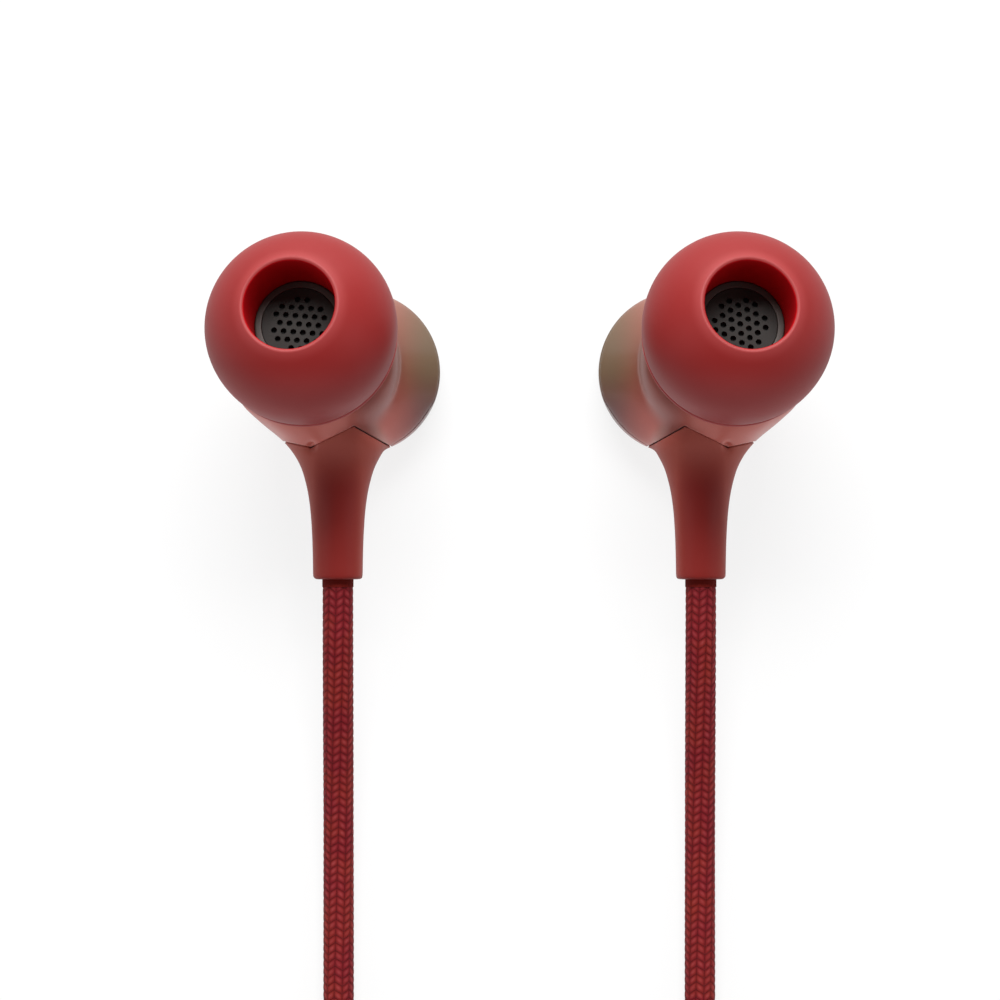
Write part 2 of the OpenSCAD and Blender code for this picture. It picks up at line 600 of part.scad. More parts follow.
// ---- main cord ----
module main_cord_middle() color(cord_red) tube(middle_route, cord_r, 8);
module main_cord_coil() color(cord_red) tube(coil_route, cord_r, 6);
module main_cord_end() color(cord_red) tube(end_route, cord_r, 8);
bundle_in = coil_out - coil_loops * pitch - cord_r - 0.35 - tie_t;
bundle_out = coil_out + cord_r + tie_gap + tie_t;
module main_coil_tie() color(tie_grey)
    translate([coil_x - tie_w / 2, coil_y - bundle_out, 0]) rotate([90, 0, 90])
        band(bundle_out - bundle_in, coil_top_z + cord_r + hank_lift + tie_gap + tie_t, tie_w);

// ---- plug: everything turns about the plug's own axis, which points along +Y ----
module along_plug(y) translate([plug_x, y, plug_z]) rotate([-90, 0, 0]) children();
module plug_bend_relief() color(boot_red) along_plug(relief_y) difference() {
    rotate_extrude() polygon([
        [0, 0], [cord_r + 0.45, 0], [cord_r + 0.6, 0.2], [cord_r + 0.6, 0.2], [2.35, relief_len - 1],
        [2.35, relief_len + 2], [0, relief_len + 2]
    ]);
    translate([0, 0, -eps]) cylinder(r = cord_r + cord_gap, h = 4 + eps);
    for (k = [0:2]) translate([0, 0, 1.6 + 2.3 * k]) difference() {
        cylinder(r = 4, h = 0.6);
        translate([0, 0, -1]) cylinder(r = 1.3 + 0.1 * k, h = 3);
    }
}
jack_inset = 5;
jack_root_r = jack_r - 0.35;
module plug_grip() color(boot_red) along_plug(grip_y) difference() {
    rotate_extrude() polygon([
        [0, 0], [grip_r - 0.4, 0], [grip_r, 0.4], [grip_r, grip_len - 1.2], [grip_r - 0.8, grip_len - 0.1],
        [grip_r - 1, grip_len], [0, grip_len]
    ]);
    translate([0, 0, -eps]) cylinder(r = 2.35 + seat_gap, h = 2 + seat_gap);
    translate([0, 0, grip_len - jack_inset]) cylinder(r = jack_root_r + seat_gap, h = jack_inset + 1);
}
// The barrel's bands along its length: sleeve, ring, ring and tip, with insulators between.
sleeve_len = 5.4;
ring_len = 2;
insulator_t = 0.55;
function band_at(k) = sleeve_len + k * (insulator_t + ring_len);
tip_len = jack_len - band_at(2) - insulator_t;
module plug_sleeve_contact() color(brass) along_plug(jack_y) {
    cylinder(r = jack_r, h = sleeve_len);
    translate([0, 0, seat_gap - jack_inset]) cylinder(r = jack_root_r, h = jack_inset);
}
module plug_ring_contacts() color(brass) for (k = [0:1]) along_plug(jack_y + band_at(k) + insulator_t)
    cylinder(r = jack_r, h = ring_len);
module plug_insulators() color(tie_grey) for (k = [0:2]) along_plug(jack_y + band_at(k))
    cylinder(r = jack_r - 0.02, h = insulator_t);
module plug_tip_contact() color(brass) along_plug(jack_y + jack_len - tip_len) rotate_extrude() polygon([
    [0, 0], [1.2, 0], [1.2, 0.5], [jack_r, 1.4], [0.9, tip_len - 0.2],
    [0.5, tip_len], [0, tip_len]
]);

ear_tip(-1);  // left_ear_tip
front_housing(-1);  // left_front_housing
nozzle_grille(-1);  // left_nozzle_grille
acoustic_damper(-1);  // left_acoustic_damper
back_cover(-1);  // left_back_cover
back_disc(-1);  // left_back_disc
driver_frame(-1);  // left_driver_frame
driver_yoke(-1);  // left_driver_yoke
driver_magnet(-1);  // left_driver_magnet
driver_top_plate(-1);  // left_driver_top_plate
voice_coil(-1);  // left_voice_coil
diaphragm(-1);  // left_diaphragm
terminal_board(-1);  // left_terminal_board
stem_boot(-1);  // left_stem_boot
cord_knot(-1);  // left_cord_knot
ear_cord(-1);  // left_ear_cord
ear_cord_hank(-1);  // left_ear_cord_hank
ear_cord_tail(-1);  // left_ear_cord_tail
hank_tie(-1);  // left_hank_tie
ear_tip(1);  // right_ear_tip
front_housing(1);  // right_front_housing
nozzle_grille(1);  // right_nozzle_grille
acoustic_damper(1);  // right_acoustic_damper
back_cover(1);  // right_back_cover
back_disc(1);  // right_back_disc
driver_frame(1);  // right_driver_frame
driver_yoke(1);  // right_driver_yoke
driver_magnet(1);  // right_driver_magnet
driver_top_plate(1);  // right_driver_top_plate
voice_coil(1);  // right_voice_coil
diaphragm(1);  // right_diaphragm
terminal_board(1);  // right_terminal_board
stem_boot(1);  // right_stem_boot
cord_knot(1);  // right_cord_knot
ear_cord(1);  // right_ear_cord
ear_cord_hank(1);  // right_ear_cord_hank
ear_cord_tail(1);  // right_ear_cord_tail
hank_tie(1);  // right_hank_tie
splitter_sleeve();
splitter_core();
main_cord_top();
remote_back_shell();
remote_front_shell();
remote_button();
remote_board();
remote_switch();
remote_microphone();
main_cord_middle();
main_cord_coil();
main_coil_tie();
main_cord_end();
plug_bend_relief();
plug_grip();
plug_sleeve_contact();
plug_ring_contacts();
plug_tip_contact();
plug_insulators();
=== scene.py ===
from math import acos, cos, exp, hypot, pi, radians, sin, sqrt, tan

import bmesh
import bpy
import numpy as np
from mathutils import Matrix, Vector


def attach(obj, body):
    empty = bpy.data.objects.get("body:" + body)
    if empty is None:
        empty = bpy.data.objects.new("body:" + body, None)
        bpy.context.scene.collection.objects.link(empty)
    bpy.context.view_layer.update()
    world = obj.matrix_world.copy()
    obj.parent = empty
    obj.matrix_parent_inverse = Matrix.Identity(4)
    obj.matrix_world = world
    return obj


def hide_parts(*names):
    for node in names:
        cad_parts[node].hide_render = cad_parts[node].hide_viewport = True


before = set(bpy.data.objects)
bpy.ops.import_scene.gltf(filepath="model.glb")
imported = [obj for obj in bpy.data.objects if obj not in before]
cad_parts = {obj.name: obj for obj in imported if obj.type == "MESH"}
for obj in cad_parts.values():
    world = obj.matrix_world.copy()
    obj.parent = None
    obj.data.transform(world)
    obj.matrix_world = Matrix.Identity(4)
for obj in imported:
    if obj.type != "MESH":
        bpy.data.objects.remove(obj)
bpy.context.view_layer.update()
mm = 0.001
sides = {"left": -1, "right": 1}
print("frame loaded")


# small helpers

def tone(r, g, b):  # a screen colour, 0 to 255, as Blender's linear colour
    def lin(c):
        c /= 255
        return c / 12.92 if c <= 0.04045 else ((c + 0.055) / 1.055) ** 2.4
    return (lin(r), lin(g), lin(b), 1)


def smoothStep(low, high, x):
    t = np.clip((x - low) / (high - low), 0, 1)
    return t * t * (3 - 2 * t)


def linked(name, data):
    made = bpy.data.objects.new(name, data)
    bpy.context.scene.collection.objects.link(made)
    return made


def meshOf(name, points, faces):  # points in mm
    mesh = bpy.data.meshes.new(name)
    mesh.from_pydata([tuple(p) for p in np.asarray(points) * mm], [], faces)
    return mesh


def fromMesh(mesh, cadNodes, material, body="root"):  # the piece takes its mesh's name
    piece = linked(mesh.name, mesh)
    for m in material if isinstance(material, (list, tuple)) else [material]:
        mesh.materials.append(m)
    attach(piece, body)
    if cadNodes:
        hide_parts(*cadNodes)
    return piece


def cleanMesh(name, points, faces, sharpAngle=40):
    mesh = meshOf(name, points, faces)
    bm = bmesh.new()
    bm.from_mesh(mesh)
    bmesh.ops.remove_doubles(bm, verts=bm.verts, dist=1e-7)
    bmesh.ops.recalc_face_normals(bm, faces=bm.faces)
    bm.to_mesh(mesh)
    bm.free()
    mesh.shade_smooth()
    mesh.set_sharp_from_angle(angle=radians(sharpAngle))
    return mesh


def circle(count):  # angles once round, without the end
    return np.linspace(0, 2 * pi, count, endpoint=False)


def arc(start, end, count):  # angles from start to end, given in degrees
    return np.radians(np.linspace(start, end, count))


def ringFaces(count, around, wrap=False, caps=True):
    faces = []
    for i in range(count if wrap else count - 1):
        j = (i + 1) % count
        for a in range(around):
            b = (a + 1) % around
            faces.append((i * around + a, i * around + b, j * around + b, j * around + a))
    if caps and not wrap:
        faces.append(tuple(range(around)))
        faces.append(tuple((count - 1) * around + a for a in range(around)))
    return faces


def turned(name, profile, place, segments=96, closed=False, sharpAngle=40):
    # profile: (radius, height) in mm round place's own Z axis
    turn = circle(segments)
    rings = [[(r * cos(a), r * sin(a), h) for a in turn] for r, h in profile]
    points = placed(np.array(rings).reshape(-1, 3), place)
    return cleanMesh(name, points, ringFaces(len(profile), segments, closed, False), sharpAngle)


def placed(points, place):
    m = np.array(place)
    return points @ m[:3, :3].T + m[:3, 3]


def alongCord(x, y, z, towards=-1):  # places a turned piece with its axis along the model's Y
    return Matrix.Translation((x, y, z)) @ Matrix.Rotation(radians(-90 * towards), 4, "X")


def joined(name, meshes):
    bm = bmesh.new()
    for mesh in meshes:
        bm.from_mesh(mesh)
        bpy.data.meshes.remove(mesh)
    mesh = bpy.data.meshes.new(name)
    bm.to_mesh(mesh)
    bm.free()
    return mesh


def rounded(corners, steps=6):
    # corners: (x, y) or (x, y, radius); every corner with a radius becomes an arc
    out = []
    for i, corner in enumerate(corners):
        p = np.array(corner[:2], float)
        if len(corner) < 3 or i in (0, len(corner) - 1):
            out.append(tuple(p))
            continue
        a, b = (np.array(corners[k][:2], float) - p for k in (i - 1, i + 1))
        la, lb = np.linalg.norm(a), np.linalg.norm(b)
        a, b = a / la, b / lb
        half = acos(max(-1, min(1, float(a @ b)))) / 2
        reach = min(corner[2] / tan(half), 0.49 * la, 0.49 * lb)
        radius = reach * tan(half)
        centre = p + (a + b) / np.linalg.norm(a + b) * radius / sin(half)
        start, end = p + a * reach - centre, p + b * reach - centre
        sweep = pi - 2 * half
        for k in range(steps + 1):
            t = k / steps
            w = (sin((1 - t) * sweep) * start + sin(t * sweep) * end) / sin(sweep)
            out.append(tuple(centre + w))
    return out


# materials

def shaderOf(material):
    return material.node_tree.nodes["Principled BSDF"]


def newMaterial(name, **values):
    material = bpy.data.materials.new(name)
    material.use_nodes = True
    for socket, value in values.items():
        shaderOf(material).inputs[socket.replace("_", " ")].default_value = value
    return material


def addNode(tree, kind, **settings):
    node = tree.nodes.new(kind)
    for name, value in settings.items():
        setattr(node, name, value)
    return node


def mathNode(tree, operation, a, b=None, c=None):
    node = addNode(tree, "ShaderNodeMath", operation=operation)
    for socket, value in zip(node.inputs, (a, b, c)):
        if value is None:
            continue
        if isinstance(value, (int, float)):
            socket.default_value = value
        else:
            tree.links.new(value, socket)
    return node.outputs[0]


def blendNode(tree, amount, first, second):
    node = addNode(tree, "ShaderNodeMix", data_type="RGBA")
    for socket, value in zip((node.inputs[0], node.inputs[6], node.inputs[7]), (amount, first, second)):
        if isinstance(value, (int, float, tuple)):
            socket.default_value = value
        else:
            tree.links.new(value, socket)
    return node.outputs[2]


def noiseNode(tree, where, scale):
    noise = addNode(tree, "ShaderNodeTexNoise")
    noise.inputs["Scale"].default_value = scale
    tree.links.new(where, noise.inputs["Vector"])
    return noise.outputs[0]


def bumpNode(tree, height, distance):  # distance in metres
    bump = addNode(tree, "ShaderNodeBump")
    bump.inputs["Distance"].default_value = distance
    tree.links.new(height, bump.inputs["Height"])
    return bump


def grainGroup():  # fine moulding or lacquer grain, for Normal and Roughness
    group = bpy.data.node_groups.new("surfaceGrain", "ShaderNodeTree")
    face = group.interface
    for name, value in (("Scale", 3000), ("Depth", 0.1), ("Roughness", 0.4), ("Spread", 0.05)):
        face.new_socket(name, in_out="INPUT", socket_type="NodeSocketFloat").default_value = value
    face.new_socket("Normal", in_out="OUTPUT", socket_type="NodeSocketVector")
    face.new_socket("Roughness", in_out="OUTPUT", socket_type="NodeSocketFloat")
    start, end = addNode(group, "NodeGroupInput"), addNode(group, "NodeGroupOutput")
    where = addNode(group, "ShaderNodeTexCoord").outputs["Object"]
    noise = addNode(group, "ShaderNodeTexNoise")
    noise.inputs["Detail"].default_value = 3
    group.links.new(where, noise.inputs["Vector"])
    group.links.new(start.outputs["Scale"], noise.inputs["Scale"])
    bump = bumpNode(group, noise.outputs[0], 0.00002)
    group.links.new(start.outputs["Depth"], bump.inputs["Strength"])
    wide = noiseNode(group, where, 350)
    shift = mathNode(group, "MULTIPLY", mathNode(group, "SUBTRACT", wide, 0.5), start.outputs["Spread"])
    group.links.new(mathNode(group, "ADD", start.outputs["Roughness"], shift), end.inputs["Roughness"])
    group.links.new(bump.outputs[0], end.inputs["Normal"])
    return group


grain = grainGroup()


def grained(name, scale, depth, roughness, spread, **values):
    material = newMaterial(name, **values)
    tree, shader = material.node_tree, shaderOf(material)
    use = addNode(tree, "ShaderNodeGroup", node_tree=grain)
    for socket, value in (("Scale", scale), ("Depth", depth), ("Roughness", roughness), ("Spread", spread)):
        use.inputs[socket].default_value = value
    for socket in ("Normal", "Roughness"):
        tree.links.new(use.outputs[socket], shader.inputs[socket])
    return material


def painted(name, **grainValues):  # its colour comes from the mesh's own paint
    material = grained(name, **grainValues)
    colour = addNode(material.node_tree, "ShaderNodeAttribute", attribute_name="paint")
    material.node_tree.links.new(colour.outputs["Color"], shaderOf(material).inputs["Base Color"])
    return material


# camera: straight down, +Y up

cameraLook = {"centreX": -1.28, "centreY": -6.15, "width": 65.8, "height": 8, "lens": 400, "sensor": 36}
distance = cameraLook["width"] * cameraLook["lens"] / cameraLook["sensor"]
lens = bpy.data.cameras.new("camera")
lens.lens, lens.sensor_width = cameraLook["lens"], cameraLook["sensor"]
lens.clip_start, lens.clip_end = 0.01, 20
camera = linked("camera", lens)
camera.location = Vector((cameraLook["centreX"], cameraLook["centreY"], cameraLook["height"] + distance)) * mm
bpy.context.scene.camera = camera


# cords: braided sleeves on the routes of the part's own tubes, in mm

cordLook = {
    "diameter": 2.04, "turnGap": 0.46, "columns": 12, "stitch": 0.52, "slant": 0.6, "edge": 0.35,
    "relief": 0.055, "seen": 36, "fineStep": 0.07, "coarseStep": 0.42, "sides": 60, "twist": 0.05,
    "thread": tone(111, 14, 24), "warm": tone(126, 34, 18), "gap": tone(74, 10, 14),
    "threadGlint": tone(156, 70, 72), "earLength": 0.31, "mainLength": 0.83,
}
budLook = {
    "x": 10.65, "y": 2.29955, "radius": 5.4, "coverHeight": 3.2, "coverEdge": 0.9,
    "shoulder": (2.5, 0.5, 6), "tilt": 18.5, "turn": 64, "rootRadius": 3.0, "rootRise": 2.4,
    "stemX": 1.35, "stemZ": 4.3, "stemRadius": 1.63, "stemEnd": 13.7, "flare": 1.62, "fade": 1.97,
}
cordRadius = cordLook["diameter"] / 2
pitch = cordLook["diameter"] + cordLook["turnGap"]
stemX, stemZ = budLook["x"] + budLook["stemX"], budLook["stemZ"]
stemEndY = budLook["y"] - budLook["stemEnd"]
lineZ, tailX = 2.9, 1.15
splitterY, splitterLength, splitterSeat = -85, 16, 4
splitterEndY = splitterY - splitterLength
remoteY, remoteLength = splitterEndY - 5, 30
remoteEndY = remoteY - remoteLength
tieThick, ringsPerLoop = 0.4, 24
windingLift = tieThick + 0.12
hank = {"inX": 5.4, "topY": -53, "run": 20, "out": 7.8, "waist": 0.8, "loops": 3}
hankX, hankY = hank["inX"] + hank["out"], hank["topY"] - hank["run"] / 2
hankBottomY = hank["topY"] - hank["run"]
hankLast = hank["loops"] * ringsPerLoop + 4
coil = {"x": -6.1, "y": -153.5, "out": 13.7, "loops": 3, "layers": 4}
coilTopZ = cordRadius + (coil["layers"] - 1) * pitch
plug = {"x": 16, "z": 3.4, "reliefY": -155, "reliefLength": 10, "gripLength": 17, "jackRadius": 1.75,
        "jackLength": 14, "gripRadius": 3.4}
gripY = plug["reliefY"] + plug["reliefLength"]
jackY = gripY + plug["gripLength"]
c, t = cordRadius, pitch  # short, for the route tables below


def hankPoint(k):  # down the inner run, round the fold, up the outer run, spiralling in and out
    j = k % ringsPerLoop
    onRun = j < 4 or 12 < j < 16
    bump = sin(radians(45 * (j % 4))) ** 2 if onRun else 0
    w = hank["out"] - pitch * min(k, hankLast - k) / ringsPerLoop - hank["waist"] * bump
    half = hank["run"] / 2
    if j <= 4:
        x, y = -w, half - hank["run"] * j / 4
    elif j <= 12:
        turn = radians(22.5 * (j - 4))
        x, y = -w * cos(turn), -half - w * sin(turn)
    elif j <= 16:
        x, y = w, -half + hank["run"] * (j - 12) / 4
    else:
        turn = radians(22.5 * (j - 16))
        x, y = w * cos(turn), half + w * sin(turn)
    climb = min(1, max(0, (k - 36) / 4))
    return hankX + x, hankY + y, cordRadius + pitch * climb + windingLift * bump


def coilPoint(turns):  # clockwise from its right-hand side, in and out, layer upon layer
    u = turns % (2 * coil["loops"])
    inward = u if u < coil["loops"] else 2 * coil["loops"] - u
    level = sum(min(1, max(0, (turns - m * coil["loops"] + 0.25) / 0.5)) for m in range(1, coil["layers"]))
    bump = max(0, min(1, 1.5 - abs(360 * (turns % 1) - 90) / 30))
    r = coil["out"] - pitch * inward
    angle = -2 * pi * turns
    return (coil["x"] + r * cos(angle), coil["y"] + r * sin(angle),
            cordRadius + pitch * level + windingLift * bump)


earRoute = [
    (stemX, stemEndY + 3, stemZ), (stemX, stemEndY, stemZ),
    (12, -15, 4.1), (12, -20, 2.9), (12, -25, 1.7), (12, -30, 1.1), (12, -35, c),
    (12, -40.5, c), (11.6, -42.5, c), (10.4, -44.2, c), (8.7, -45.3, c),
    (7, -46.4, c), (5.8, -48.2, c), (hank["inX"], -49.8, c),
    (hank["inX"], hank["topY"] + 2 * c, c),
] + [hankPoint(k) for k in range(hankLast + 1)] + [
    (hank["inX"], hankBottomY - 2 * c, c + t), (hank["inX"], -76, 3.5), (5, -77.6, 3.4),
    (3.9, -79.2, 3.2), (2.5, -80.5, 3.1), (1.5, -82, 3), (tailX, -83.6, lineZ),
    (tailX, splitterY - splitterSeat, lineZ),
]
mainRoute = [
    (0, splitterEndY + splitterSeat, lineZ), (0, splitterEndY, lineZ), (0, remoteY, lineZ),
    (0, remoteY - 12, lineZ - 1.4), (0, remoteEndY + 12, lineZ - 1.4),
    (0, remoteEndY, lineZ), (0, -138, 2.6), (0.5, -140.1, 2.1),
    (1.8, -141.8, 1.7), (3.8, -142.9, 1.35), (5.8, -143.9, 1.1), (7.1, -145.6, c),
    (coil["x"] + coil["out"], -147.7, c),
] + [coilPoint(k / ringsPerLoop) for k in range(coil["loops"] * coil["layers"] * ringsPerLoop + 1)] + [
    (7.6, -157.5, 8.2), (8.2, -159.6, 7.5), (9.7, -161.1, 6.7), (11.8, -161.7, 5.8),
    (13.9, -161.1, 5), (15.4, -159.6, 4.3), (plug["x"], -157.5, 3.7),
    (plug["x"], plug["reliefY"], plug["z"]), (plug["x"], plug["reliefY"] + 4, plug["z"]),
]


def smoothRoute(points, step=0.1, reach=1.8):  # the points' polyline with its corners rounded
    p = np.array(points, float)
    run = np.r_[0, np.cumsum(np.linalg.norm(np.diff(p, axis=0), axis=1))]
    at = np.arange(0, run[-1], step)
    dense = np.column_stack([np.interp(at, run, p[:, k]) for k in range(3)])
    half = int(reach / step)
    lead = dense[0] + np.arange(-half, 0)[:, None] * (dense[1] - dense[0])
    tail = dense[-1] + np.arange(1, half + 1)[:, None] * (dense[-1] - dense[-2])
    dense = np.vstack([lead, dense, tail])
    kernel = np.hanning(2 * half + 3)[1:-1]
    kernel /= kernel.sum()
    return np.column_stack([np.convolve(dense[:, k], kernel, "valid") for k in range(3)])


def braidHeight(column, stitch):  # 0 in the gaps to 1 on the threads
    across = column % 1
    lean = (np.floor(column) % 2) * 2 - 1
    thread = (stitch + lean * (across - 0.5) * cordLook["slant"]) % 1
    bow, edge = (np.clip(4 * share * (1 - share), 0, 1) for share in (thread, across))
    return np.sqrt(bow) * edge ** cordLook["edge"]


def cordTube(name, route, seen, material, cadNodes, sides):
    curve = smoothRoute(route)
    run = np.r_[0, np.cumsum(np.linalg.norm(np.diff(curve, axis=0), axis=1))]
    stations = np.r_[np.arange(0, seen, cordLook["fineStep"]),
                     np.arange(seen, run[-1] - 0.1, cordLook["coarseStep"]), run[-1]]
    centre = np.column_stack([np.interp(stations, run, curve[:, k]) for k in range(3)])
    ahead = np.gradient(centre, axis=0)
    ahead /= np.linalg.norm(ahead, axis=1)[:, None]
    level = np.cross(ahead, [0, 0, 1])
    level /= np.linalg.norm(level, axis=1)[:, None]
    upward = np.cross(level, ahead)
    around = np.arange(sides) / sides
    angle = around * 2 * pi
    twist = stations * cordLook["twist"]  # the columns wind slowly round the cord
    rise = braidHeight(around[None, :] * cordLook["columns"] + twist[:, None],
                       stations[:, None] / cordLook["stitch"])
    rise = np.where(stations[:, None] < seen, rise, 0.7)
    radius = cordRadius - cordLook["relief"] * (1 - rise)
    outward = (np.cos(angle)[None, :, None] * level[:, None, :]
               + np.sin(angle)[None, :, None] * upward[:, None, :])
    points = centre[:, None, :] + radius[..., None] * outward
    mesh = meshOf(name, points.reshape(-1, 3), ringFaces(len(stations), sides))
    layer = mesh.uv_layers.new(name="braid")
    uvs = []
    for i in range(len(stations) - 1):
        low, high = stations[i] / cordLook["stitch"], stations[i + 1] / cordLook["stitch"]
        for a in range(sides):
            left, right = a / sides * cordLook["columns"], (a + 1) / sides * cordLook["columns"]
            uvs += [left + twist[i], low, right + twist[i], low,
                    right + twist[i + 1], high, left + twist[i + 1], high]
    uvs += [0.0] * (4 * sides)  # the two end caps
    layer.data.foreach_set("uv", uvs)
    mesh.shade_smooth()
    mesh.validate()
    mesh.update()
    piece = fromMesh(mesh, cadNodes, material)
    return piece, centre * mm, float(np.sum(np.linalg.norm(np.diff(centre, axis=0), axis=1))) * mm


def braidGroup():  # the threads' height, from the cord's own UVs
    group = bpy.data.node_groups.new("braid", "ShaderNodeTree")
    group.interface.new_socket("Slant", in_out="INPUT", socket_type="NodeSocketFloat")
    group.interface.new_socket("Height", in_out="OUTPUT", socket_type="NodeSocketFloat")
    start, end = addNode(group, "NodeGroupInput"), addNode(group, "NodeGroupOutput")
    split = addNode(group, "ShaderNodeSeparateXYZ")
    group.links.new(addNode(group, "ShaderNodeUVMap", uv_map="braid").outputs[0], split.inputs[0])

    def maths(operation, *values):
        return mathNode(group, operation, *values)

    def bowed(share):  # 0 at both edges, 1 in the middle
        return maths("MULTIPLY", maths("MULTIPLY", share, maths("SUBTRACT", 1.0, share)), 4.0)

    across = maths("FRACT", split.outputs["X"])
    lean = maths("MULTIPLY_ADD", maths("MODULO", maths("FLOOR", split.outputs["X"]), 2.0), 2.0, -1.0)
    shift = maths("MULTIPLY", maths("MULTIPLY", lean, maths("SUBTRACT", across, 0.5)), start.outputs["Slant"])
    thread = maths("FRACT", maths("ADD", split.outputs["Y"], shift))
    height = maths("MULTIPLY", maths("SQRT", bowed(thread)), maths("POWER", bowed(across), cordLook["edge"]))
    group.links.new(height, end.inputs["Height"])
    return group


def braidMaterial():
    material = newMaterial("cordBraid", Roughness=0.66, Sheen_Weight=0.05, Sheen_Roughness=0.5,
                           Sheen_Tint=cordLook["threadGlint"], Specular_IOR_Level=0.12)
    tree, shader = material.node_tree, shaderOf(material)
    use = addNode(tree, "ShaderNodeGroup", node_tree=braidGroup())
    use.inputs["Slant"].default_value = cordLook["slant"]
    height = use.outputs["Height"]
    where = addNode(tree, "ShaderNodeTexCoord").outputs["Object"]
    threadGlint, batch = noiseNode(tree, where, 1500), noiseNode(tree, where, 420)
    warmth = mathNode(tree, "MULTIPLY", mathNode(tree, "SUBTRACT", batch, 0.42), 3.0)
    thread = blendNode(tree, warmth, cordLook["thread"], cordLook["warm"])
    # the grooves between the threads take the dark gap tone: painted shade
    colour = blendNode(tree, height, cordLook["gap"], thread)
    # painted glint: pale specks on the crowns of the threads
    speck = mathNode(tree, "MULTIPLY", mathNode(tree, "POWER", height, 6.0),
                     mathNode(tree, "MULTIPLY", threadGlint, 0.6))
    tree.links.new(blendNode(tree, speck, colour, cordLook["threadGlint"]), shader.inputs["Base Color"])
    bump = bumpNode(tree, height, 0.00006)
    bump.inputs["Strength"].default_value = 0.8
    tree.links.new(bump.outputs[0], shader.inputs["Normal"])
    return material


cordMaterial = braidMaterial()
for side, sign in sides.items():
    route = [(sign * x, y, z) for x, y, z in earRoute]
    cadNodes = [f"{side}_ear_cord", f"{side}_ear_cord_hank", f"{side}_ear_cord_tail"]
    cordTube(f"{side}EarCord", route, cordLook["seen"], cordMaterial, cadNodes,
                           cordLook["sides"])
cordTube("mainCord", mainRoute, 0, cordMaterial,
                         ["main_cord_top", "main_cord_middle", "main_cord_coil", "main_cord_end"], 32)


# ear tips: a dome folded back into a sleeve, with a rounded rim, turned about the nozzle's own axis
tipLook = {
    "radius": 6.3, "widestAt": 8.2, "domeHeight": 5.82, "mouth": 3.0, "rim": 0.42, "hem": 0.2, "skirtAt": 5.4,
    "skirtWall": 0.55, "skirtCurve": 1.7, "skirtSweep": 40, "sleeveAt": 3.7, "sleeveInner": 2.98,
    "sleeveWall": 0.65, "segments": 160, "silicone": tone(124, 21, 20), "thinEdgeAndHighlight": tone(170, 74, 74),
    "bore": tone(162, 3, 12), "boreDepth": 0.05, "lipFrom": 11.5, "lipReach": 1.0, "hemReach": 1.7,
    "lipPale": 0.3, "hemPale": 0.6, "paintedLowLight": 0.3,
}
noseTilt, noseTurn = radians(budLook["tilt"]), radians(budLook["turn"])


def budPlace(side):  # from a bud's own frame to the model's, in mm
    place = Matrix.Translation((budLook["x"], budLook["y"], 0))
    return Matrix.Diagonal((sides[side], 1, 1, 1)) @ place


def nosePlace(side):
    lean = Matrix.Rotation(noseTurn, 4, "Z") @ Matrix.Rotation(noseTilt, 4, "Y")
    return budPlace(side) @ Matrix.Translation(budLook["shoulder"]) @ lean


def tipProfile():
    r, widest, dome = tipLook["radius"], tipLook["widestAt"], tipLook["domeHeight"]
    mouth, rim, skirt, inner = tipLook["mouth"], tipLook["rim"], tipLook["skirtAt"], tipLook["sleeveInner"]
    wall, curve, sweep = tipLook["skirtWall"], tipLook["skirtCurve"], radians(tipLook["skirtSweep"])
    sleeveAt, sleeveOuter = tipLook["sleeveAt"], inner + tipLook["sleeveWall"]
    domeEnd = acos((mouth + 1.6 * rim) / r)
    endR, endZ = r * cos(domeEnd), widest + dome * sin(domeEnd)
    rimZ = endZ + (endR - mouth) * dome * cos(domeEnd) / (r * sin(domeEnd))
    hem = tipLook["hem"]
    hemR = r - (1 - cos(sweep)) * curve - 0.1
    outer = [(hemR + hem * cos(a), skirt + hem + hem * sin(a))
             for a in arc(-90, 50, 12)]
    outer += [(r - (1 - cos(a)) * curve, widest + (widest - skirt - 0.3) * sin(a) / sin(sweep))
              for a in np.radians(np.linspace(-34, 0, 14, endpoint=False))]
    outer += [(r * cos(a), widest + dome * sin(a)) for a in np.linspace(0, domeEnd, 48)]
    lip = rounded([(endR, endZ), (mouth, rimZ, rim), (mouth, rimZ - 1.4)], 14)[1:-1]
    bore = [(mouth, z) for z in np.linspace(rimZ - 1.4, rimZ - 3, 6)] + [(inner, rimZ - 3.6), (inner, 6)]
    sleeve = [(inner, sleeveAt), (inner + 0.3, sleeveAt - 0.02), (sleeveOuter, sleeveAt + 0.2),
              (sleeveOuter, rimZ - 3.8), (sleeveOuter + 0.3, rimZ - 3.2)]
    inside = [((r - wall) * cos(a), widest + (dome - wall) * sin(a))
              for a in np.linspace(domeEnd - 0.3, 0, 16)]
    hemInner = [(hemR - hem, skirt + 2 * hem), (hemR - hem, skirt + hem)]
    return outer + lip + bore + sleeve + inside + hemInner


def paintMesh(mesh, colourOf):  # stores colourOf(points in mm, normals) as the mesh's own paint
    points = np.array([v.co for v in mesh.vertices]) / mm
    normals = np.array([v.normal for v in mesh.vertices])
    colours = np.column_stack([colourOf(points, normals), np.ones(len(points))])
    mesh.color_attributes.new("paint", "FLOAT_COLOR", "POINT").data.foreach_set("color", colours.ravel())


def blendTones(first, second, amount):
    return np.array(first[:3]) * (1 - amount[:, None]) + np.array(second[:3]) * amount[:, None]


